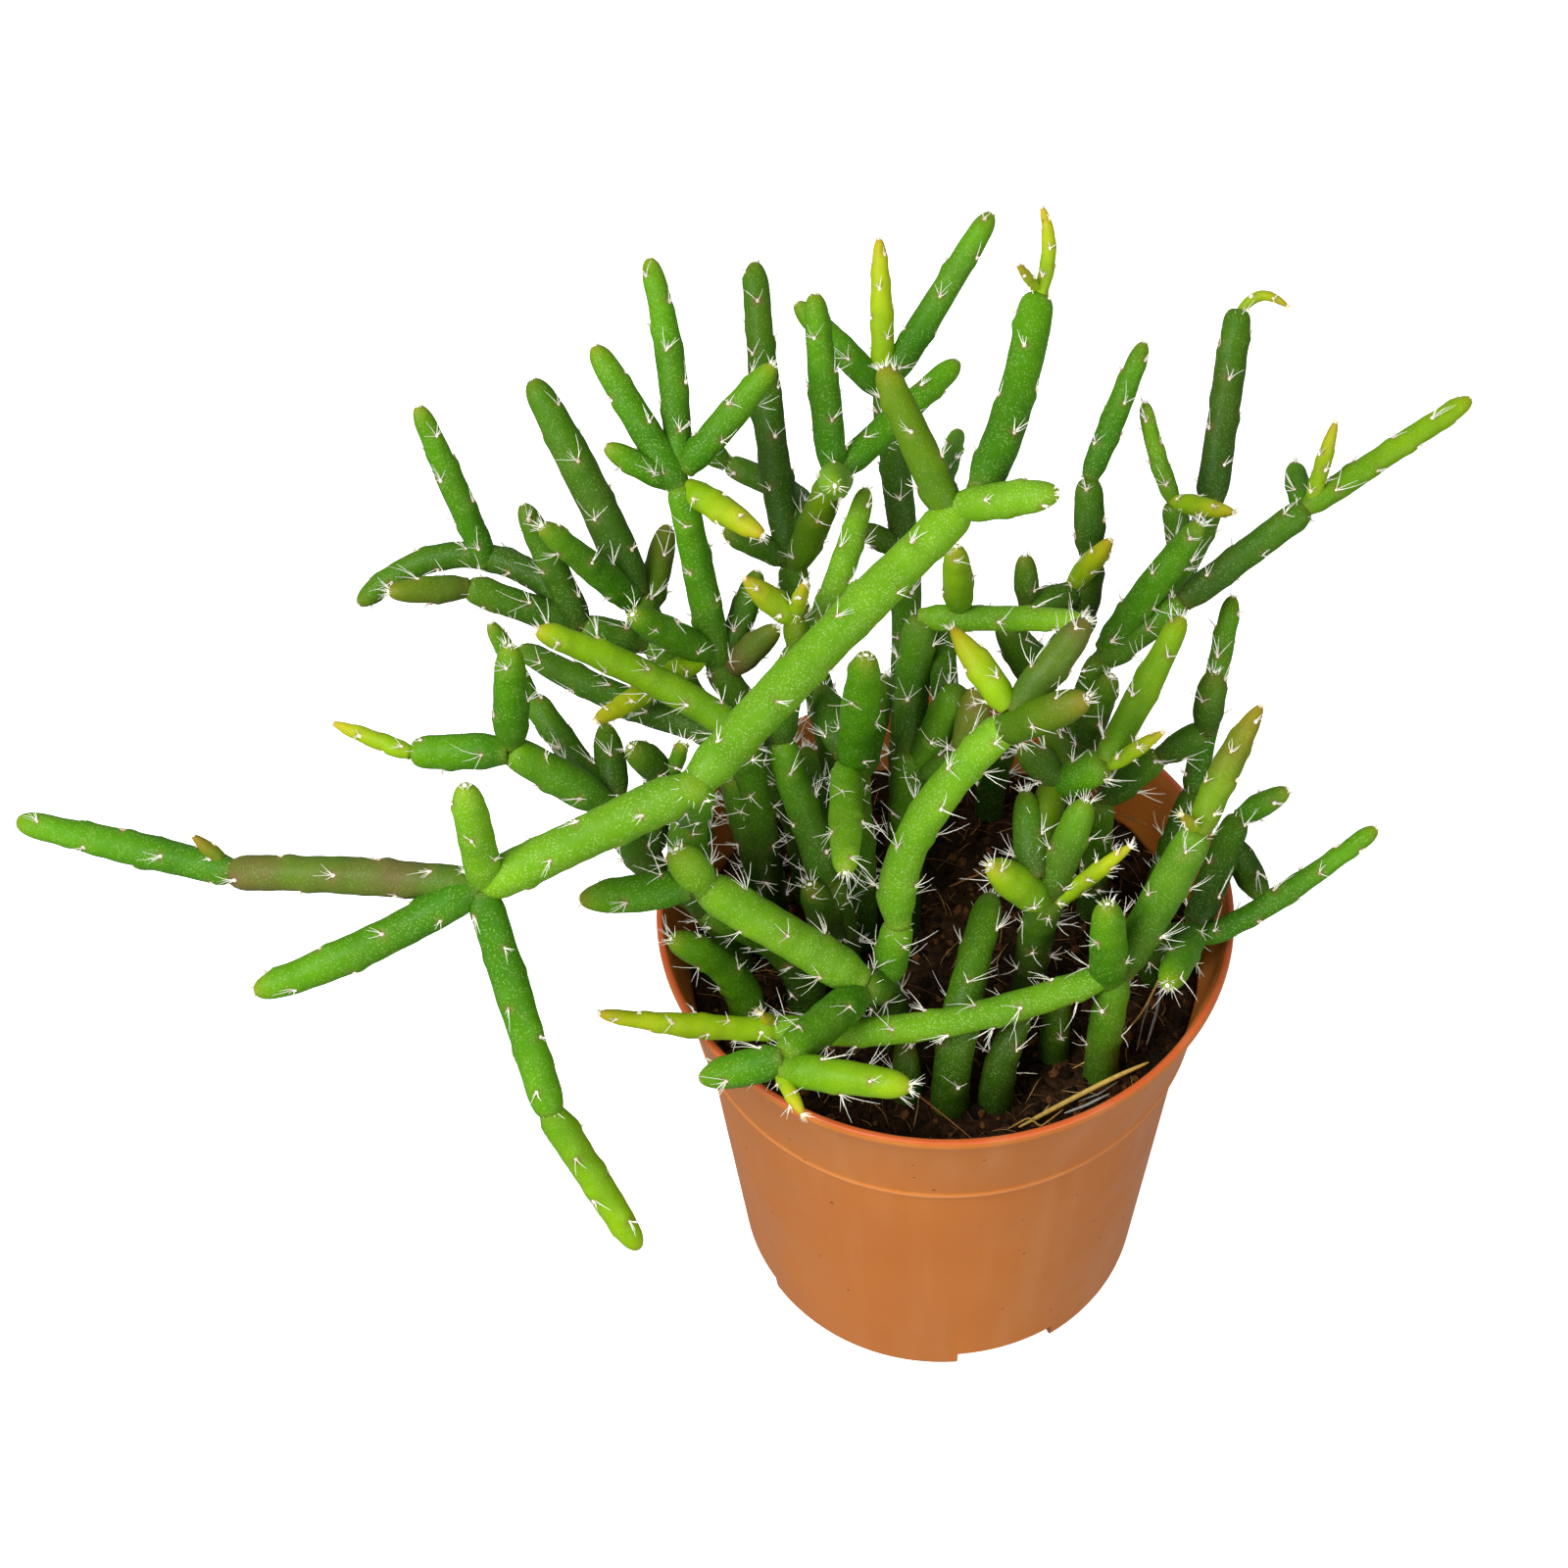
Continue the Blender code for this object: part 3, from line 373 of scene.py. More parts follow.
def grow(rows):
    """The limbs of one stem, and the set of those that carry others at their tips."""
    limbs = []
    bearing = set()
    for shoot_here in (Shoot(*row) for row in rows):
        tip = at_pixel(shoot_here.tip, shoot_here.near)
        if limbs:
            start, parent, place = seat_on(limbs, np.array(shoot_here.start))
            if place >= SAMPLES - 4:
                bearing.add(parent)
            middle_near = (seen_at(start)[1] + shoot_here.near) / 2
            bend = (start + tip) / 2
            if shoot_here.via:
                bend = 2 * at_pixel(shoot_here.via, middle_near) - bend
            taper = TAPER
        else:
            start = np.array((*shoot_here.start, SOIL_TOP + FREE_HEIGHT))
            lift = ROOT_LIFT * np.linalg.norm(tip - start)
            bend = start + np.array((0.0, 0.0, lift))
            taper = ROOT_TAPER
        share = np.linspace(0.0, 1.0, SAMPLES)
        radii = np.interp(share, *zip(*taper)) * shoot_here.width / 2
        limbs.append(Limb(bent_line(start, bend, tip, share), radii, bend, shoot_here, not limbs))
    return limbs, bearing


def placed(name, data):
    """A new object of the scene that shows this mesh, lamp or camera."""
    obj = bpy.data.objects.new(name, data)
    bpy.context.scene.collection.objects.link(obj)
    return obj


# Free room round each tube's rectangle on the texture, and how fast the texture grows until all fit.
MAP_MARGIN = 0.12
MAP_SLACK = 1.06
MAP_GROWTH = 1.04


class Gather:
    """Vertices, faces, colours and texture places of one mesh, gathered tube by tube."""

    def __init__(self):
        self.verts = []
        self.faces = []
        self.slots = []
        self.places = []
        self.colours = {}
        self.sizes = []
        self.count = 0

    def add(self, verts, rings, sides, size, slot=0, at=None, **colours):
        """A tube of rings with closed ends. size is its length and girth on the texture."""
        for faces, places in zip(ring_faces(rings, sides), ring_places(rings, sides, at)):
            self.faces += (faces + self.count).tolist()
            self.slots += [slot] * len(faces)
            self.places.append((len(self.sizes), places))
        self.verts.append(verts)
        self.sizes.append(size)
        for name, colour in colours.items():
            self.colours.setdefault(name, []).append(np.broadcast_to(colour, (len(verts), 3)))
        self.count += len(verts)

    def build(self, name, finishes):
        mesh = bpy.data.meshes.new(name)
        mesh.from_pydata((np.vstack(self.verts) * MM).tolist(), [], self.faces)
        for key, rows in self.colours.items():
            colours = np.ones((self.count, 4), dtype=np.float32)
            colours[:, :3] = np.vstack(rows)
            layer = mesh.attributes.new(key, "FLOAT_COLOR", "POINT")
            layer.data.foreach_set("color", colours.ravel())
        corners, span = packed(self.sizes)
        places = []
        for which, local in self.places:
            size = np.array(self.sizes[which]) - 2 * MAP_MARGIN
            places.append((corners[which] + MAP_MARGIN + local * size) / span)
        layer = mesh.uv_layers.new(name="OFBake")
        layer.uv.foreach_set("vector", np.vstack(places).astype(np.float32).ravel())
        for finish in finishes:
            mesh.materials.append(finish)
        mesh.polygons.foreach_set("material_index", self.slots)
        mesh.polygons.foreach_set("use_smooth", [True] * len(self.slots))
        return placed(name, mesh)


def packed(sizes):
    """The low corner of each rectangle, set out in rows on a square, and the side of that square."""
    area = sum(long * high for long, high in sizes)
    span = max(MAP_SLACK * math.sqrt(area), max(long for long, _ in sizes))
    corners = [None] * len(sizes)
    while True:
        x = y = row = 0.0
        for which in sorted(range(len(sizes)), key=lambda k: (-sizes[k][1], -sizes[k][0])):
            long, high = sizes[which]
            if x + long > span:
                x = 0.0
                y += row
                row = 0.0
            corners[which] = np.array((x, y))
            x += long
            row = max(row, high)
        if y + row <= span:
            return corners, span
        span *= MAP_GROWTH


def turns_of(sides):
    """The angles of this many even steps round a circle."""
    return np.linspace(0.0, TURN, sides, endpoint=False)


@functools.lru_cache(maxsize=None)
def ring_faces(rings, sides):
    """Quads between rings, then a fan at the first ring's centre and a fan at the tip."""
    row = np.arange(rings - 1)[:, None] * sides
    j = np.arange(sides)[None, :]
    k = (j + 1) % sides
    quads = np.stack((row + j, row + k, row + sides + k, row + sides + j), axis=-1).reshape(-1, 4)
    j, k = j[0], k[0]
    centre = np.full(sides, rings * sides)
    last = (rings - 1) * sides
    fans = ((centre, k, j), (last + j, last + k, centre + 1))
    return quads, np.vstack([np.stack(fan, axis=1) for fan in fans])


def ring_places(rings, sides, at=None):
    """Where each face corner of ring_faces lies on the unwrapped tube, each way from 0 to 1."""
    along = np.linspace(0.0, 1.0, rings + 2) if at is None else at
    near, far = along[1:-2, None], along[2:-1, None]
    low = (np.arange(sides) / sides)[None, :]
    high = low + 1 / sides
    shape = (rings - 1, sides)
    near, far, low, high = (np.broadcast_to(one, shape) for one in (near, far, low, high))
    corners = ((near, low), (near, high), (far, high), (far, low))
    quads = np.stack([np.stack(pair, axis=-1) for pair in corners], axis=2).reshape(-1, 2)
    low, high = low[0], high[0]
    middle = (low + high) / 2
    flat = np.ones(sides)
    first = ((flat * along[0], middle), (flat * along[1], high), (flat * along[1], low))
    last = ((flat * along[-2], low), (flat * along[-2], high), (flat * along[-1], middle))
    fans = [np.stack([np.stack(pair, axis=-1) for pair in fan], axis=1) for fan in (first, last)]
    return quads, np.vstack(fans).reshape(-1, 2)


def across_frames(centre):
    """For each point of a line: the way on, and two unit vectors square to it that don't twist."""
    ways = np.gradient(centre, axis=0)
    ways /= np.linalg.norm(ways, axis=1)[:, None]
    one = np.cross(ways[0], np.eye(3)[np.argmin(np.abs(ways[0]))])
    ones = []
    for way in ways:
        one = one - way * (one @ way)
        one = one / np.linalg.norm(one)
        ones.append(one)
    ones = np.array(ones)
    return ways, ones, np.cross(ways, ones)


def tube_verts(centre, frames, radii, apex):
    """Rings round a line, with a radius for each ring and side, then the two end points."""
    _, ones, twos = frames
    sides = radii.shape[1]
    turn = turns_of(sides)[None, :, None]
    out = np.cos(turn) * ones[:, None, :] + np.sin(turn) * twos[:, None, :]
    rings = centre[:, None, :] + out * radii[:, :, None]
    return np.vstack((rings.reshape(-1, 3), centre[0], apex))


def smooth_step(value):
    value = np.clip(value, 0.0, 1.0)
    return value * value * (3 - 2 * value)


SIDES = 24
RING_SPACING = 0.5
TIP_RINGS = 7
NECK_WIDTHS = 0.75
NECK_SHARE = 0.72
YOUNG = ("yellow", "red")
AREOLE_SPACING = 2.75
YOUNG_AREOLE_SPACING = 1.9
GOLDEN_DEG = 137.5
SPACING_WIDTH = 5.2
FULL_RELIEF_WIDTH = 5.0
# Each areole is a mound with a pit just past it. Both fade by these squares, along and round.
MOUND_HEIGHT = 0.34
MOUND_BEFORE = 0.55
MOUND_SPREAD = (1.5, 1.7)
PIT_DEPTH = 0.20
PIT_PAST = 0.45
PIT_SPREAD = (0.35, 0.6)
SWELL = 0.03
RIPPLE = 0.012
CURVE_STEPS = 400
FOOT_STEPS = 12
TIP_WIDTHS = 0.9
TIP_SHARE = 0.35
MOUTH_RADIUS = 41.0
# How much a shoot thins towards its tip, and how blunt the tip is.
SLIM = 0.20
SLIM_YOUNG = 0.45
SLIM_BEARING = 0.06
BLUNT = 2.3
BLUNT_BEARING = 3.4
# The bristles and the scales that they stand in. A patch is the room that one has on the texture.
BRISTLE_RADIUS = 0.092
BRISTLE_TAPER = 0.75
BRISTLE_SIDES = 3
BRISTLE_RINGS = 4
BRISTLE_LENGTHS = (1.5, 4.8)
BRISTLE_LEANS_DEG = (20, 75)
BRISTLE_SWING_DEG = 70
BRISTLE_BOWS = (0.25, 1.0)
BRISTLE_PATCH = (1.8, 0.9)
WOOL_LENGTHS = (0.9, 2.3)
SCALE_SIDES = 6
SCALE_PATCH = (1.0, 1.0)
NO_MARKS = (0.0, 0.0, 0.0)

# How long a stem's bristles are beside the rest's, where that differs.
HAIR = {"stem_left_arm": 0.62, "stem_front": 1.2, "stem_left_back": 0.8, "stem_top_centre": 0.8}

# By the name of a shoot's tint: its base colour at its foot and at its tip, how far it darkens
# towards the soil (painted shade among the low stems, partly also darker old bases), how flushed and
# how speckled it is, and how warm its tip is.
Tint = namedtuple("Tint", "foot tip darkening flush speckle warmth")
TINTS = {
    "dark": Tint((0.040, 0.110, 0.006), (0.070, 0.190, 0.004), 0.50, None, 0.40, 0.20),
    "shade": Tint((0.055, 0.150, 0.006), (0.095, 0.250, 0.005), 0.35, None, 0.50, 0.10),
    "green": Tint((0.050, 0.190, 0.002), (0.098, 0.290, 0.002), 0.15, None, 0.60, 0.35),
    "light": Tint((0.132, 0.315, 0.007), (0.172, 0.380, 0.008), 0.00, None, 1.00, 0.20),
    "fresh": Tint((0.135, 0.315, 0.003), (0.250, 0.445, 0.003), 0.00, 0.05, 0.40, 0.50),
    "yellow": Tint((0.260, 0.450, 0.003), (0.430, 0.500, 0.006), 0.00, 0.05, 0.25, 0.75),
    "olive": Tint((0.072, 0.165, 0.003), (0.125, 0.212, 0.003), 0.15, 0.30, 0.25, 0.40),
    "red": Tint((0.150, 0.290, 0.004), (0.220, 0.230, 0.006), 0.00, 0.28, 0.25, 0.65),
    "purple": Tint((0.095, 0.175, 0.014), (0.118, 0.185, 0.014), 0.00, 0.50, 0.25, 0.10),
}
FAINT_FLUSH = (0.0, 0.12)
# How far down from its tip a shoot is warm, and how far from its ends it is brown.
WARM_LENGTH = 1.3
WARM_LENGTH_YOUNG = 2.2
NECK_BROWN_LENGTH = 0.9
TIP_BROWN_LENGTH = 0.55
# Heights between which the painted shade near the soil fades.
SHADE_LOW = 72.0
SHADE_HIGH = 112.0
TIP_WARMTH = (0.60, 0.33, 0.015)
SCAR = (0.30, 0.10, 0.035)
WOOL = (0.95, 0.92, 0.76)
GOLD_WOOL = (0.80, 0.55, 0.10)


def fine_line(limb):
    """The limb's centre line in even steps, closer together near the tip, with the way along it."""
    start = limb.points[0]
    tip = limb.points[-1]
    line = bent_line(start, limb.bend, tip, np.linspace(0.0, 1.0, CURVE_STEPS))
    if limb.first:
        foot = np.array((start[0], start[1], SOIL_TOP - HOLE_DEPTH + GAP))
        below = foot + (start - foot) * np.linspace(0.0, 1.0, FOOT_STEPS, endpoint=False)[:, None]
        line = np.vstack((below, line))
    steps = np.linalg.norm(np.diff(line, axis=0), axis=1)
    along = np.concatenate(((0.0,), np.cumsum(steps)))
    total = along[-1]
    width = limb.shoot.width
    tip_length = min(TIP_WIDTHS * width, TIP_SHARE * total)
    body = np.arange(0.0, total - tip_length, RING_SPACING)
    quarter = np.linspace(0.0, math.pi / 2, TIP_RINGS + 1)
    cap = total - tip_length + tip_length * np.sin(quarter)
    wanted = np.concatenate((body, cap[:-1]))
    points = np.stack([np.interp(wanted, along, line[:, axis]) for axis in range(3)], axis=1)
    return points, wanted, total, tip_length


def girth(limb, at, total, tip_length, bears, rng):
    """The plain radius along a limb: a narrow neck, an even body and a rounded tip."""
    half = limb.shoot.width / 2
    share = at / total
    if limb.first:
        shape = 0.92 + 0.08 * smooth_step(share / 0.3)
    else:
        shape = NECK_SHARE + (1 - NECK_SHARE) * smooth_step(at / (NECK_WIDTHS * limb.shoot.width))
    slim = SLIM_BEARING if bears else SLIM_YOUNG if limb.shoot.tint in YOUNG else SLIM
    shape = shape * (1 - slim * smooth_step((share - 0.45) / 0.55))
    shape = shape * (1 + SWELL * np.sin(rng.uniform(0, 6) + at * rng.uniform(0.25, 0.45)))
    shape = shape * (1 + RIPPLE * np.sin(rng.uniform(0, 6) + at * rng.uniform(1.2, 1.9)))
    left = np.clip((total - at) / tip_length, 0.0, 1.0)
    blunt = BLUNT_BEARING if bears else BLUNT
    return half * shape * (1 - (1 - left) ** blunt) ** (1 / blunt)


def areoles_on(limb, total, bears, rng):
    """Distance along and turn of each areole, on a spiral."""
    spacing = YOUNG_AREOLE_SPACING if limb.shoot.tint in YOUNG else AREOLE_SPACING
    spacing *= math.sqrt(limb.shoot.width / SPACING_WIDTH)
    at = spacing * rng.uniform(0.9, 1.4) + (HOLE_DEPTH + 2 if limb.first else 0.0)
    turn = rng.uniform(0, 360)
    found = []
    while at < total - (1.2 if bears else 1.6):
        found.append((at, math.radians(turn % 360)))
        at += spacing * rng.uniform(0.85, 1.15)
        turn += GOLDEN_DEG + rng.uniform(-14, 14)
    return found


def shades(limb, at, total, heights, spots, bears, rng):
    """Colour, and amounts of flush, speckle and brown, for each ring and side of a limb."""
    tint = TINTS[limb.shoot.tint]
    foot, tip = np.array(tint.foot), np.array(tint.tip)
    young = limb.shoot.tint in YOUNG
    share = (at / total)[:, None, None]
    colour = foot + (tip - foot) * smooth_step((share - 0.1) / 0.9) + np.zeros((*spots.shape, 3))
    colour = colour * (1 + rng.uniform(-0.10, 0.10))
    # Painted shade: shoots are darker low down near the soil, where shade falls among the stems, and
    # partly for their darker older bases.
    risen = smooth_step((heights - SHADE_LOW) / (SHADE_HIGH - SHADE_LOW))[:, None, None]
    colour = colour * (1 - tint.darkening * (1 - risen))
    left = (total - at)[:, None, None]
    reach = WARM_LENGTH_YOUNG if young else WARM_LENGTH
    warm = tint.warmth * rng.uniform(0.5, 1.0) * np.exp(-left / reach)
    colour = colour + (np.array(TIP_WARMTH) - colour) * warm * (0.2 if bears else 1.0)
    marks = np.zeros((*spots.shape, 3))
    faint = rng.uniform(*FAINT_FLUSH)
    flush = faint if tint.flush is None else tint.flush
    marks[..., 0] = np.clip(flush + 0.5 * spots, 0, 1)
    marks[..., 1] = tint.speckle
    neck = np.exp(-at / NECK_BROWN_LENGTH)[:, None] if not limb.first else np.zeros((len(at), 1))
    end = np.exp(-(total - at) / TIP_BROWN_LENGTH)[:, None]
    marks[..., 2] = np.clip(0.25 * neck + (0.45 if young else 0.15) * end + 0.35 * spots, 0, 1)
    return colour, marks


def bristle(gather, root, direction, side, length, bow, colour):
    """One tapered bristle that bows towards side."""
    share = np.linspace(0.0, 1.0, BRISTLE_RINGS)[:, None]
    centre = root + direction * length * share + side * bow * length * share**2
    frames = across_frames(np.vstack((centre, centre[-1] + (centre[-1] - centre[-2]))))
    frames = tuple(part[:-1] for part in frames)
    radii = BRISTLE_RADIUS * (1 - BRISTLE_TAPER * share) * np.ones((1, BRISTLE_SIDES))
    apex = centre[-1] + (centre[-1] - centre[-2]) * 0.12
    verts = tube_verts(centre, frames, radii, apex)
    gather.add(verts, BRISTLE_RINGS, BRISTLE_SIDES, BRISTLE_PATCH, slot=1, tint=colour, marks=NO_MARKS)


def cushion(gather, place, out, up, size, colour):
    """The small scale that an areole's bristles stand in."""
    across = np.cross(up, out)
    rings = []
    turn = turns_of(SCALE_SIDES)[:, None]
    for reach, rise in ((1.0, 0.0), (0.72, 0.5), (0.3, 0.85)):
        flat = np.cos(turn) * up * 1.25 + np.sin(turn) * across
        rings.append(place + flat * size * reach + out * size * rise)
    verts = np.vstack((*rings, place, place + out * size * 0.9))
    gather.add(verts, 3, SCALE_SIDES, SCALE_PATCH, slot=1, tint=colour, marks=NO_MARKS)


def allowed(point):
    """Whether a bristle's tip stays out of the soil and the pot's wall."""
    reach = math.hypot(point[0], point[1])
    return point[2] > SOIL_TOP + 0.6 and (point[2] > RIM_HEIGHT + 0.5 or reach < MOUTH_RADIUS)


def dress(name, limb, line, frames, girths, found, total, bears, hairs, rng):
    """Areole scales and bristles of a limb, and the wool at its tip."""
    centre, at = line
    ways, ones, twos = frames
    hairy = HAIR.get(name, 1.0)
    young = limb.shoot.tint in YOUNG
    for spot, turn in found:
        i = min(int(np.searchsorted(at, spot)), len(at) - 1)
        out = math.cos(turn) * ones[i] + math.sin(turn) * twos[i]
        side = np.cross(out, ways[i])
        place = centre[i] + out * (girths[i] + 0.02)
        if not allowed(place):
            continue
        shade = np.array(SCAR) * rng.uniform(0.7, 1.5) if not young else np.array(TIP_WARMTH)
        cushion(hairs, place, out, ways[i], rng.uniform(0.24, 0.38), shade)
        for _ in range(rng.integers(3, 7)):
            lean = math.radians(rng.uniform(*BRISTLE_LEANS_DEG))
            swing = math.radians(rng.uniform(-BRISTLE_SWING_DEG, BRISTLE_SWING_DEG))
            flat = math.cos(swing) * ways[i] + math.sin(swing) * side
            way = math.cos(lean) * out + math.sin(lean) * flat
            length = rng.uniform(*BRISTLE_LENGTHS) * hairy * (0.5 if young else 1.0)
            bend = ways[i] * rng.uniform(-0.1, 0.5) + side * rng.uniform(-0.4, 0.4) - out * 0.15
            if allowed(place + way * length):
                shade = np.array(WOOL) * rng.uniform(0.85, 1.05)
                bristle(hairs, place - out * 0.12, way, bend, length, rng.uniform(*BRISTLE_BOWS), shade)
    end = centre[-1]
    forward = ways[-1]
    count = rng.integers(8, 14) if bears else rng.integers(14, 23)
    reach = girths[-3] if bears else girths[-2] * 0.7
    gold = young and rng.uniform() < 0.8
    for k in range(count):
        turn = TURN * k / count + rng.uniform(-0.4, 0.4)
        out = math.cos(turn) * ones[-1] + math.sin(turn) * twos[-1]
        spread = rng.uniform(0.2, 1.1) if not bears else rng.uniform(0.7, 2.2)
        way = forward + out * spread
        way /= np.linalg.norm(way)
        place = end + out * reach * rng.uniform(0.35, 0.95) - forward * (1.0 if bears else 0.35)
        length = rng.uniform(*WOOL_LENGTHS) * (0.8 if young else 1.0) * (0.8 + 0.2 * hairy)
        if allowed(place + way * length):
            wool = GOLD_WOOL if gold and rng.uniform() < 0.5 else WOOL
            shade = np.array(wool) * rng.uniform(0.85, 1.05)
            bristle(hairs, place, way, out, length, rng.uniform(-0.3, 0.4), shade)
    if not bears:
        shade = np.array(GOLD_WOOL if gold else WOOL) * 0.9
        cushion(hairs, end - forward * 0.1, forward, ones[-1], 0.42, shade)


def limb_skin(name, limb, bears, stem, rng):
    """The fine skin of one limb, added to its stem's mesh, with its bristles."""
    centre, at, total, tip_length = fine_line(limb)
    frames = across_frames(centre)
    plain = girth(limb, at, total, tip_length, bears, rng)
    turns = turns_of(SIDES)
    found = areoles_on(limb, total, bears, rng)
    radii = plain[:, None] * np.ones((1, SIDES))
    spots = np.zeros((len(at), SIDES))
    scale = min(1.0, limb.shoot.width / FULL_RELIEF_WIDTH)
    for spot, turn in found:
        wrapped = (turns - turn + math.pi) % TURN - math.pi
        away = (wrapped[None, :] * plain[:, None]) ** 2
        before = (at[:, None] - spot + MOUND_BEFORE) ** 2
        past = (at[:, None] - spot - PIT_PAST) ** 2
        mound = np.exp(-before / MOUND_SPREAD[0] - away / MOUND_SPREAD[1])
        pit = np.exp(-past / PIT_SPREAD[0] - away / PIT_SPREAD[1])
        radii += scale * (MOUND_HEIGHT * mound - PIT_DEPTH * pit)
        spots = np.maximum(spots, pit)
    fade = np.clip((total - at) / tip_length, 0.0, 1.0)[:, None]
    radii = plain[:, None] + (radii - plain[:, None]) * smooth_step(fade * 1.5)
    verts = tube_verts(centre, frames, radii, limb.points[-1])
    painted = shades(limb, at, total, centre[:, 2], spots, bears, rng)
    tint, marks = (np.vstack((rows.reshape(-1, 3), rows[0, 0], rows[-1, 0])) for rows in painted)
    size = (plain[0] + total, TURN * plain.max())
    along_map = np.concatenate(((0.0,), plain[0] + at, size[:1])) / size[0]
    stem.add(verts, len(at), SIDES, size, at=along_map, tint=tint, marks=marks)
    dress(name, limb, (centre, at), frames, plain, found, total, bears, stem, rng)


def lathe(name, profile, steps, finish):
    """A turned mesh. The profile goes from the axis inside, over the rim and down to the axis below."""
    low = profile[-1][1]
    high = profile[0][1]
    turn = turns_of(steps)
    radii, heights = np.array(profile[1:-1]).T[:, :, None]
    rings = np.stack((radii * np.cos(turn), radii * np.sin(turn), heights + 0 * turn), axis=-1)
    verts = np.vstack((rings.reshape(-1, 3), (0, 0, high), (0, 0, low)))
    quads, tris = ring_faces(len(profile) - 2, steps)
    mesh = bpy.data.meshes.new(name)
    mesh.from_pydata((verts * MM).tolist(), [], quads.tolist() + tris.tolist())
    mesh.materials.append(finish)
    mesh.polygons.foreach_set("use_smooth", [True] * len(mesh.polygons))
    return placed(name, mesh)


POT_SIDES = 144
ROUND_POINTS = 4
DRAIN_SIDES = 32
DRAIN_CUT = 4.0
SHARP_DEG = 40


def pot_outer(height):
    heights = (0.0, BODY_TOP_HEIGHT, COLLAR_FOOT_HEIGHT, RIM_HEIGHT)
    radii = (FOOT_RADIUS, BODY_TOP_RADIUS, COLLAR_FOOT_RADIUS, RIM_RADIUS - RIM_LIP_OVERHANG)
    return float(np.interp(height, heights, radii))


def rounded(corner, before, after, reach):
    """Points of a small round at a corner of a profile."""
    corner, before, after = (np.array(one, dtype=float) for one in (corner, before, after))
    start = corner + (before - corner) * min(reach / np.linalg.norm(before - corner), 0.5)
    end = corner + (after - corner) * min(reach / np.linalg.norm(after - corner), 0.5)
    line = bent_line(start, corner, end, np.linspace(0.0, 1.0, ROUND_POINTS))
    return [tuple(point) for point in line]


def soften(corners, reaches):
    """The profile with each inner corner rounded by its reach."""
    profile = [corners[0]]
    for index in range(1, len(corners) - 1):
        profile += rounded(corners[index], corners[index - 1], corners[index + 1], reaches[index])
    return profile + [corners[-1]]


def add_pot():
    inside = RIM_RADIUS - RIM_LIP_OVERHANG - WALL
    lip_foot = RIM_HEIGHT - RIM_LIP_HEIGHT
    corners = [
        (0.0, FLOOR),
        (pot_outer(FLOOR) - WALL, FLOOR),
        (BODY_TOP_RADIUS - WALL, BODY_TOP_HEIGHT),
        (COLLAR_FOOT_RADIUS - WALL, COLLAR_FOOT_HEIGHT + 0.8),
        (inside, RIM_HEIGHT - 1.6),
        (inside + 0.75, RIM_HEIGHT),
        (RIM_RADIUS - 0.1, RIM_HEIGHT),
        (RIM_RADIUS, lip_foot),
        (pot_outer(lip_foot) - 0.05, lip_foot - 0.25),
        (pot_outer(COLLAR_FOOT_HEIGHT + 0.7), COLLAR_FOOT_HEIGHT + 0.7),
        (COLLAR_FOOT_RADIUS + BEAD_PROUD, COLLAR_FOOT_HEIGHT + 0.25),
        (COLLAR_FOOT_RADIUS + BEAD_PROUD, COLLAR_FOOT_HEIGHT - 0.25),
        (COLLAR_FOOT_RADIUS - 0.1, COLLAR_FOOT_HEIGHT - 0.6),
        (BODY_TOP_RADIUS, BODY_TOP_HEIGHT),
        (pot_outer(1.0), 1.0),
        (FOOT_RADIUS - 1.0, 0.0),
        (0.0, 0.0),
    ]
    reaches = [0, 2, 2, 1, 0.4, 0.3, 0.4, 0.4, 0.3, 0.5, 0.25, 0.25, 0.5, 1, 1, 1, 0]
    pot = lathe("flower_pot", soften(corners, reaches), POT_SIDES, pot_finish())
    channels = bmesh.new()
    drains = bmesh.new()
    length = RIM_RADIUS - CHANNEL_INNER_RADIUS
    size = Matrix.Diagonal((length * MM, CHANNEL_WIDTH * MM, 2 * CHANNEL_HEIGHT * MM, 1.0))
    middle = Matrix.Translation(((CHANNEL_INNER_RADIUS + length / 2) * MM, 0.0, 0.0))
    for index in range(CHANNEL_COUNT):
        angle = math.radians(CHANNEL_FIRST_DEG + index * 360.0 / CHANNEL_COUNT)
        turn = Matrix.Rotation(angle, 4, "Z")
        bmesh.ops.create_cube(channels, size=1.0, matrix=turn @ middle @ size)
        hole = turn @ (Vector((DRAIN_AT_RADIUS, 0.0, FLOOR - 1)) * MM)
        bmesh.ops.create_cone(
            drains,
            cap_ends=True,
            segments=DRAIN_SIDES,
            radius1=DRAIN_RADIUS * MM,
            radius2=DRAIN_RADIUS * MM,
            depth=DRAIN_CUT * MM,
            matrix=Matrix.Translation(hole),
        )
    cut_by(pot, "foot_channels", channels)
    cut_by(pot, "drain_holes", drains)
    pot.data.set_sharp_from_angle(angle=math.radians(SHARP_DEG))
    return pot


def cut_by(obj, name, work):
    """Cuts obj by the closed shapes in work, and keeps the result as its mesh."""
    mesh = bpy.data.meshes.new(name)
    work.to_mesh(mesh)
    work.free()
    cutter = placed(name, mesh)
    cut = obj.modifiers.new(name, "BOOLEAN")
    cut.operation = "DIFFERENCE"
    cut.object = cutter
    cut.solver = "EXACT"
    bpy.context.view_layer.update()
    shape = obj.evaluated_get(bpy.context.evaluated_depsgraph_get())
    old = obj.data
    obj.data = bpy.data.meshes.new_from_object(shape)
    obj.modifiers.clear()
    bpy.data.meshes.remove(old)
    bpy.data.objects.remove(cutter)


SOIL_SIDES = 180
SOIL_RINGS = 72
SOIL_WAVES = 48
SOIL_RELIEF = 2.4


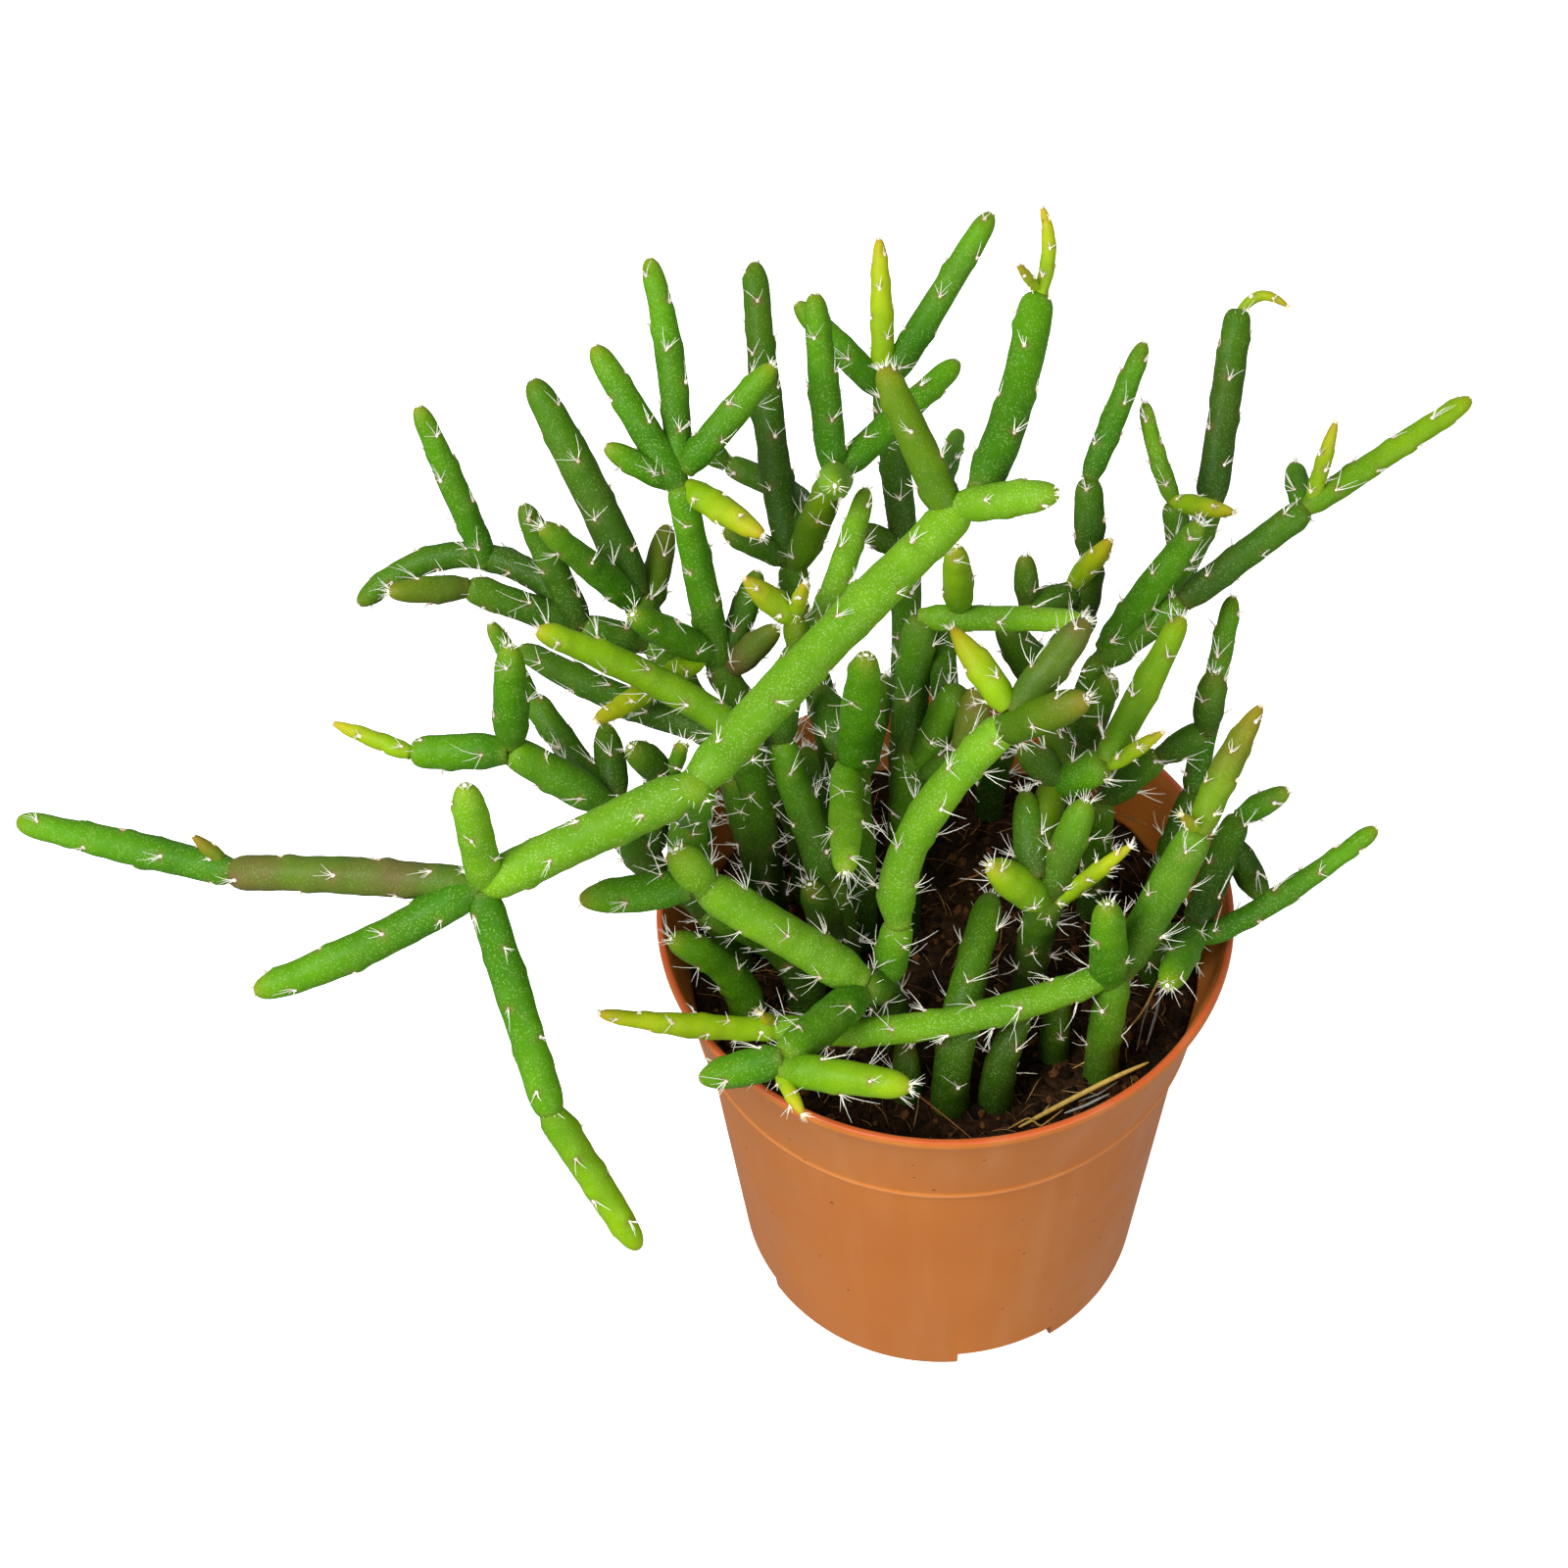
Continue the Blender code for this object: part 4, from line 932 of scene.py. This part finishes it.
def soil_waves(rng):
    """Random waves whose sum is the soil's surface."""
    length = np.exp(rng.uniform(math.log(1.2), math.log(14.0), SOIL_WAVES))
    turn = rng.uniform(0, TURN, SOIL_WAVES)
    ways = np.stack((np.cos(turn) / length, np.sin(turn) / length)) * TURN
    return ways, rng.uniform(0, 7, SOIL_WAVES), length


def soil_height(x, y, waves):
    ways, start, length = waves
    flat = np.stack((x, y), axis=-1) @ ways + start
    share = length**0.6 / (length**0.6).sum()
    return SOIL_TOP + SOIL_RELIEF * (np.sin(flat) * share).sum(axis=-1)


def add_soil(rng):
    waves = soil_waves(rng)

    def edge_at(height):
        return pot_outer(height) - WALL - GAP

    edge = edge_at(SOIL_TOP)
    profile = [(0.0, SOIL_TOP)]
    profile += [(radius, SOIL_TOP) for radius in np.linspace(0.5, edge - 0.2, SOIL_RINGS)]
    profile += [
        (edge - 0.05, SOIL_TOP - 0.8),
        (COLLAR_FOOT_RADIUS - WALL - GAP, COLLAR_FOOT_HEIGHT + 0.8),
        (edge_at(BODY_TOP_HEIGHT), BODY_TOP_HEIGHT),
        (edge_at(FLOOR), FLOOR + GAP),
        (0.0, FLOOR + GAP),
    ]
    soil = lathe("soil_ball", profile, SOIL_SIDES, soil_finish())
    places = np.empty(len(soil.data.vertices) * 3)
    soil.data.vertices.foreach_get("co", places)
    places = places.reshape(-1, 3) / MM
    top = places[:, 2] > SOIL_TOP - 0.01
    places[top, 2] = soil_height(places[top, 0], places[top, 1], waves)
    soil.data.vertices.foreach_set("co", (places * MM).ravel())
    return soil, waves


CRUMBS = 1500
CRUMB_SIDES = 6
CRUMB_SIZES = (0.25, 1.25)
FIBRES = 460
FIBRE_STEPS = 5
FIBRE_LENGTHS = (2.5, 11.0)
FIBRE_RADII = (0.045, 0.11)
CRUMB_TINTS = ((0.012, 0.007, 0.004), (0.028, 0.014, 0.007), (0.06, 0.028, 0.011), (0.16, 0.07, 0.022))
FIBRE_TINTS = ((0.20, 0.085, 0.028), (0.34, 0.17, 0.05), (0.52, 0.33, 0.11), (0.12, 0.05, 0.02))


def spot_on_soil(rng):
    reach = math.sqrt(rng.uniform(0, 1)) * (pot_outer(SOIL_TOP) - WALL - 1.2)
    turn = rng.uniform(0, TURN)
    return reach * math.cos(turn), reach * math.sin(turn)


def add_crumbs(waves, rng):
    gather = Gather()
    turn = turns_of(CRUMB_SIDES)
    for _ in range(CRUMBS):
        x, y = spot_on_soil(rng)
        size = math.exp(rng.uniform(*np.log(CRUMB_SIZES)))
        z = soil_height(x, y, waves)
        stretch = rng.uniform(0.6, 1.3, 3) * (1, 1, 0.75)
        rings = []
        for rise, reach in ((-0.55, 0.8), (0.1, 1.0), (0.65, 0.68)):
            height = np.full(CRUMB_SIDES, rise)
            flat = np.stack((np.cos(turn) * reach, np.sin(turn) * reach, height), axis=1)
            rings.append(flat + rng.uniform(-0.16, 0.16, flat.shape))
        verts = np.vstack((*rings, (0, 0, -0.9), (0, 0, 0.92))) * stretch * size
        turned = Matrix.Rotation(rng.uniform(0, 6.3), 3, "Z")
        tilted = turned @ Matrix.Rotation(rng.uniform(-0.6, 0.6), 3, "X")
        verts = verts @ np.array(tilted).T + (x, y, z + 0.1 * size)
        tint = np.array(CRUMB_TINTS[rng.integers(len(CRUMB_TINTS))]) * rng.uniform(0.7, 1.2)
        gather.add(verts, 3, CRUMB_SIDES, (size * 4, size * 5), tint=tint)
    return gather.build("soil_crumbs", [crumb_finish()])


def strand(gather, points, radius, tint, sides, rings):
    """A thin fibre through the points, smoothly."""
    points = np.array(points, dtype=float)
    share = np.linspace(0, 1, len(points))
    fine = np.linspace(0, 1, rings)
    smooth = np.stack([np.interp(fine, share, points[:, axis]) for axis in range(3)], axis=1)
    for _ in range(3):
        smooth[1:-1] = (smooth[:-2] + 2 * smooth[1:-1] + smooth[2:]) / 4
    frames = across_frames(smooth)
    radii = radius * (1 - 0.6 * np.abs(2 * fine - 1) ** 3)[:, None] * np.ones((1, sides))
    verts = tube_verts(smooth, frames, radii, smooth[-1] + (smooth[-1] - smooth[-2]) * 0.2)
    length = np.linalg.norm(np.diff(smooth, axis=0), axis=1).sum()
    gather.add(verts, rings, sides, (length, 1.0 + 6 * radius), tint=tint)


def on_level(pixel, height):
    """The point at this height that shows at this pixel."""
    low = at_pixel(pixel, 0.0)
    way = at_pixel(pixel, 1.0) - low
    return low + way * (height - low[2]) / way[2]


# Loose strands that the photograph shows on the soil: pixels, heights, radius and colour.
STRANDS = (
    (((1172, 1084), (1140, 1098), (1100, 1118), (1066, 1136), (1040, 1150)),
     (75, 74.2, 72.5, 71.5, 71.2), 0.42, (0.60, 0.42, 0.10)),
    (((1195, 930), (1190, 985), (1165, 1035), (1130, 1072), (1095, 1090)),
     (84, 82, 78, 74, 71.4), 0.17, (0.62, 0.40, 0.12)),
    (((920, 1105), (940, 1120), (968, 1142), (992, 1162)),
     (71.2, 72.2, 73.4, 74.5), 0.12, (0.30, 0.12, 0.04)),
    (((1028, 1152), (1050, 1140), (1062, 1150), (1085, 1132)),
     (71.4, 72.2, 71.6, 71.6), 0.16, (0.45, 0.26, 0.06)),
    (((1086, 1136), (1108, 1128), (1132, 1116)), (71.2, 71.8, 72.2), 0.22, (0.32, 0.35, 0.33)),
    (((1100, 1124), (1122, 1116), (1140, 1104)), (71.2, 71.6, 71.8), 0.14, (0.30, 0.32, 0.31)),
    (((1186, 1004), (1180, 1034), (1170, 1066)), (73.0, 72.0, 71.4), 0.24, (0.28, 0.31, 0.31)),
    (((1176, 1012), (1166, 1044), (1160, 1072)), (71.6, 71.6, 71.4), 0.13, (0.24, 0.27, 0.28)),
    (((1168, 868), (1196, 878), (1214, 900)), (71.6, 72.4, 71.6), 0.18, (0.36, 0.17, 0.04)),
    (((1140, 828), (1170, 842), (1208, 846)), (71.6, 73.0, 71.8), 0.20, (0.46, 0.26, 0.06)),
    (((968, 905), (1004, 890), (1036, 898)), (71.6, 73.0, 71.6), 0.18, (0.34, 0.16, 0.04)),
)


def add_fibres(waves, rng):
    gather = Gather()
    for _ in range(FIBRES):
        x, y = spot_on_soil(rng)
        turn = rng.uniform(0, TURN)
        step = rng.uniform(*FIBRE_LENGTHS) / FIBRE_STEPS
        points = []
        for share in np.linspace(0, 1, FIBRE_STEPS):
            turn += rng.uniform(-0.55, 0.55)
            x += math.cos(turn) * step
            y += math.sin(turn) * step
            reach = math.hypot(x, y)
            room = pot_outer(SOIL_TOP) - WALL - 0.8
            if reach > room:
                x, y = x * room / reach, y * room / reach
            lift = math.sin(share * math.pi) * rng.uniform(0.0, 1.4)
            points.append((x, y, soil_height(x, y, waves) + 0.12 + lift))
        tint = np.array(FIBRE_TINTS[rng.integers(len(FIBRE_TINTS))]) * rng.uniform(0.7, 1.25)
        strand(gather, points, rng.uniform(*FIBRE_RADII), tint, sides=3, rings=9)
    for pixels, heights, radius, tint in STRANDS:
        points = [on_level(pixel, height) for pixel, height in zip(pixels, heights)]
        strand(gather, points, radius, np.array(tint), sides=8, rings=28)
    return gather.build("coir_fibres", [fibre_finish()])


class Finish:
    """A Principled material, with short ways to add nodes to it."""

    def __init__(self, name, roughness, **values):
        self.material = bpy.data.materials.new(name)
        self.material.use_nodes = True
        self.tree = self.material.node_tree
        self.shader = self.tree.nodes["Principled BSDF"]
        for name, value in {"Roughness": roughness, **values}.items():
            self.shader.inputs[name.replace("_", " ")].default_value = value
        self.object_place = self.tree.nodes.new("ShaderNodeTexCoord").outputs["Object"]

    def feed(self, socket, value):
        """Sets a socket to a value, or links another node's output to it."""
        if isinstance(value, bpy.types.NodeSocket):
            self.tree.links.new(value, socket)
        else:
            socket.default_value = value

    def node(self, kind, **values):
        node = self.tree.nodes.new(f"ShaderNode{kind}")
        for name, value in values.items():
            self.feed(node.inputs[name.replace("_", " ")], value)
        return node

    def attribute(self, name):
        node = self.node("Attribute")
        node.attribute_name = name
        return node.outputs["Color"]

    def parts(self, colour):
        return self.node("SeparateColor", Color=colour).outputs

    def noise(self, scale, detail=3.0, place=None, roughness=0.5):
        place = place or self.object_place
        node = self.node("TexNoise", Scale=scale, Detail=detail, Roughness=roughness, Vector=place)
        return node.outputs["Fac"]

    def voronoi(self, scale):
        return self.node("TexVoronoi", Scale=scale, Vector=self.object_place).outputs["Distance"]

    def stretched(self, x, y, z):
        return self.node("Mapping", Scale=(x, y, z), Vector=self.object_place).outputs["Vector"]

    def ranged(self, value, low, high, to_low=0.0, to_high=1.0):
        spans = {"From_Min": low, "From_Max": high, "To_Min": to_low, "To_Max": to_high}
        return self.node("MapRange", Value=value, **spans).outputs["Result"]

    def sums(self, operation, one, two):
        node = self.node("Math")
        node.operation = operation
        self.feed(node.inputs[0], one)
        self.feed(node.inputs[1], two)
        return node.outputs["Value"]

    def mix(self, factor, one, two, blend="MIX"):
        node = self.node("Mix")
        node.data_type = "RGBA"
        node.blend_type = blend
        self.feed(node.inputs["Factor"], factor)
        # The sockets A and B of a colour mix.
        for socket, value in ((node.inputs[6], one), (node.inputs[7], two)):
            self.feed(socket, (*value, 1.0) if isinstance(value, tuple) else value)
        return node.outputs[2]

    def bump(self, height, strength, distance):
        node = self.node("Bump", Height=height, Strength=strength, Distance=distance)
        self.feed(self.shader.inputs["Normal"], node.outputs["Normal"])

    def patches(self, scale, low, high, **options):
        """Noise that goes from 0 where it is low to 1 where it is high."""
        return self.ranged(self.noise(scale, **options), low, high)

    def roughness(self, scale, low, high):
        """Roughness from low to high, in patches."""
        self.feed(self.shader.inputs["Roughness"], self.ranged(self.noise(scale), 0.3, 0.7, low, high))

    def colour(self, colour):
        self.feed(self.shader.inputs["Base Color"], colour)


def skin_finish():
    finish = Finish("cactus_skin", 0.42, Specular_IOR_Level=0.12)
    flush, speckle, brown = finish.parts(finish.attribute("marks"))[:3]
    colour = finish.attribute("tint")
    shade = finish.patches(150.0, 0.35, 0.68)
    colour = finish.mix(finish.sums("MULTIPLY", shade, 0.65), colour, (0.55, 0.72, 0.55), "MULTIPLY")
    blotch = finish.patches(70.0, 0.44, 0.66, detail=4.0)
    colour = finish.mix(finish.sums("MULTIPLY", flush, blotch), colour, (0.17, 0.065, 0.045))
    dots = finish.ranged(finish.voronoi(2500.0), 0.16, 0.42, 1.0, 0.0)
    dots = finish.sums("MULTIPLY", dots, finish.patches(420.0, 0.30, 0.52))
    dots = finish.sums("MULTIPLY", dots, speckle)
    colour = finish.mix(finish.sums("MULTIPLY", dots, 0.45), colour, (0.50, 0.70, 0.20))
    colour = finish.mix(brown, colour, (0.24, 0.115, 0.040))
    finish.colour(colour)
    finish.roughness(300.0, 0.38, 0.56)
    relief = finish.sums("ADD", finish.noise(900.0, detail=2.0), finish.sums("MULTIPLY", dots, 0.5))
    finish.bump(relief, 0.55, 0.00016)
    return finish.material


def glowing_bristle_finish():
    # The faint cream emission is painted light: the bristles glow a little, as if lit through, though
    # they are no lamp.
    finish = Finish("bristle", 0.55, Emission_Color=(1.0, 0.97, 0.84, 1.0), Emission_Strength=0.16)
    pale = finish.patches(900.0, 0.3, 0.7)
    finish.colour(finish.mix(pale, finish.attribute("tint"), (1.0, 0.99, 0.90)))
    return finish.material


def pot_finish():
    finish = Finish("terracotta_plastic", 0.42, Specular_IOR_Level=0.42)
    shade = finish.patches(28.0, 0.3, 0.7, detail=2.0)
    colour = finish.mix(shade, (0.55, 0.162, 0.020), (0.60, 0.190, 0.028))
    height = finish.node("SeparateXYZ", Vector=finish.object_place).outputs["Z"]
    rim = finish.ranged(height, (RIM_HEIGHT - 0.5) * MM, (RIM_HEIGHT - 0.1) * MM)
    colour = finish.mix(rim, colour, (0.58, 0.105, 0.020))
    # Painted highlight: a pale line on the collar's raised bead, where it catches the light.
    above_bead = finish.sums("SUBTRACT", height, (COLLAR_FOOT_HEIGHT + 0.1) * MM)
    bead_highlight = finish.ranged(finish.sums("ABSOLUTE", above_bead, 0.0), 0.1 * MM, 0.4 * MM, 0.28, 0.0)
    colour = finish.mix(bead_highlight, colour, (0.72, 0.36, 0.17))
    specks = finish.ranged(finish.voronoi(210.0), 0.045, 0.085, 1.0, 0.0)
    specks = finish.sums("MULTIPLY", specks, finish.patches(60.0, 0.46, 0.54))
    colour = finish.mix(specks, colour, (0.16, 0.055, 0.022))
    streaks = finish.noise(160.0, detail=2.0, place=finish.stretched(1.0, 1.0, 0.05))
    colour = finish.mix(finish.ranged(streaks, 0.50, 0.78, 0.0, 0.22), colour, (0.72, 0.34, 0.15))
    finish.colour(colour)
    finish.roughness(90.0, 0.32, 0.48)
    finish.bump(finish.noise(700.0, detail=2.0), 0.15, 0.0001)
    return finish.material


def soil_finish():
    finish = Finish("peat", 0.95, Specular_IOR_Level=0.1)
    grain = finish.patches(900.0, 0.35, 0.70, detail=6.0, roughness=0.65)
    patch = finish.patches(110.0, 0.40, 0.65, detail=3.0)
    colour = finish.mix(grain, (0.006, 0.004, 0.002), (0.036, 0.018, 0.008))
    colour = finish.mix(patch, colour, finish.mix(grain, (0.022, 0.010, 0.004), (0.095, 0.044, 0.016)))
    finish.colour(colour)
    finish.bump(grain, 0.8, 0.0006)
    return finish.material


def crumb_finish():
    finish = Finish("peat_crumb", 0.92, Specular_IOR_Level=0.1)
    grain = finish.patches(1400.0, 0.35, 0.70, detail=4.0)
    finish.colour(finish.mix(grain, finish.attribute("tint"), (0.45, 0.40, 0.36), "MULTIPLY"))
    finish.bump(grain, 0.7, 0.0003)
    return finish.material


def fibre_finish():
    finish = Finish("coir", 0.65, Specular_IOR_Level=0.3)
    grain = finish.patches(1100.0, 0.35, 0.70, detail=3.0)
    finish.colour(finish.mix(grain, finish.attribute("tint"), (0.75, 0.66, 0.55), "MULTIPLY"))
    return finish.material


# The studio, in metres and watts.
FLOOR_HALF = 3.0
PAPER_GLOW = 1.0
WORLD_STRENGTH = 0.27
SOFTBOXES = (
    ("key", (-0.75, -0.55, 1.15), (0.0, 0.0, 0.10), 0.8, 21.5),
    ("fill", (0.65, -1.15, 0.40), (0.0, 0.0, 0.05), 1.0, 11.0),
    ("side", (-1.15, -0.45, 0.22), (0.0, 0.0, 0.05), 0.8, 4.0),
    ("back", (0.20, 1.10, 0.90), (0.0, 0.0, 0.10), 0.9, 2.0),
)
SEED = 5


def add_camera():
    data = bpy.data.cameras.new("camera")
    data.sensor_width = SENSOR_MM
    data.lens = LENS_PX / PHOTO_WIDTH_PX * SENSOR_MM
    data.clip_start = 0.01
    camera = placed("camera", data)
    place = (np.array(AIM_POINT) + BACK * CAMERA_DISTANCE) * MM
    turn = Matrix((RIGHT, UP, BACK)).transposed().to_4x4()
    camera.matrix_world = Matrix.Translation(place) @ turn
    bpy.context.scene.camera = camera


def add_softbox(name, place, aim, size, power):
    data = bpy.data.lights.new(name, "AREA")
    data.shape = "SQUARE"
    data.size = size
    data.energy = power
    lamp = placed(name, data)
    lamp.location = place
    way = Vector(aim) - Vector(place)
    lamp.rotation_mode = "QUATERNION"
    lamp.rotation_quaternion = way.to_track_quat("-Z", "Y")


def add_studio():
    floor = placed("floor", bpy.data.meshes.new("floor"))
    work = bmesh.new()
    bmesh.ops.create_grid(work, x_segments=1, y_segments=1, size=FLOOR_HALF)
    work.to_mesh(floor.data)
    work.free()
    glow = {"Emission_Color": (1.0, 1.0, 1.0, 1.0), "Emission_Strength": PAPER_GLOW}
    paper = Finish("white_paper", 0.9, **glow)
    paper.colour(paper.mix(paper.noise(3.0), (0.93, 0.93, 0.93), (0.95, 0.95, 0.95)))
    floor.data.materials.append(paper.material)
    floor.visible_diffuse = False
    floor.visible_glossy = False
    world = bpy.data.worlds.new("studio")
    world.use_nodes = True
    sky = world.node_tree.nodes["Background"]
    sky.inputs["Color"].default_value = (1.0, 1.0, 1.0, 1.0)
    sky.inputs["Strength"].default_value = WORLD_STRENGTH
    bpy.context.scene.world = world
    for softbox in SOFTBOXES:
        add_softbox(*softbox)
    bpy.context.scene.view_settings.view_transform = "Standard"


def claim(piece, slot, *nodes):
    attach(piece, BODY)
    if nodes:
        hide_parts(*nodes)


def main():
    add_camera()
    add_studio()
    skin = skin_finish()
    hair = glowing_bristle_finish()
    for index, (name, rows) in enumerate(STEMS.items()):
        rng = np.random.default_rng(SEED + index)
        limbs, bearing = grow(rows)
        stem = Gather()
        for which, limb in enumerate(limbs):
            limb_skin(name, limb, which in bearing, stem, rng)
        claim(stem.build(f"{name}_fine", [skin, hair]), "stem", name)
    claim(add_pot(), "pot", "pot")
    rng = np.random.default_rng(SEED)
    soil, waves = add_soil(rng)
    claim(soil, "soil", "soil")
    claim(add_crumbs(waves, rng), "soil")
    claim(add_fibres(waves, rng), "soil")


main()
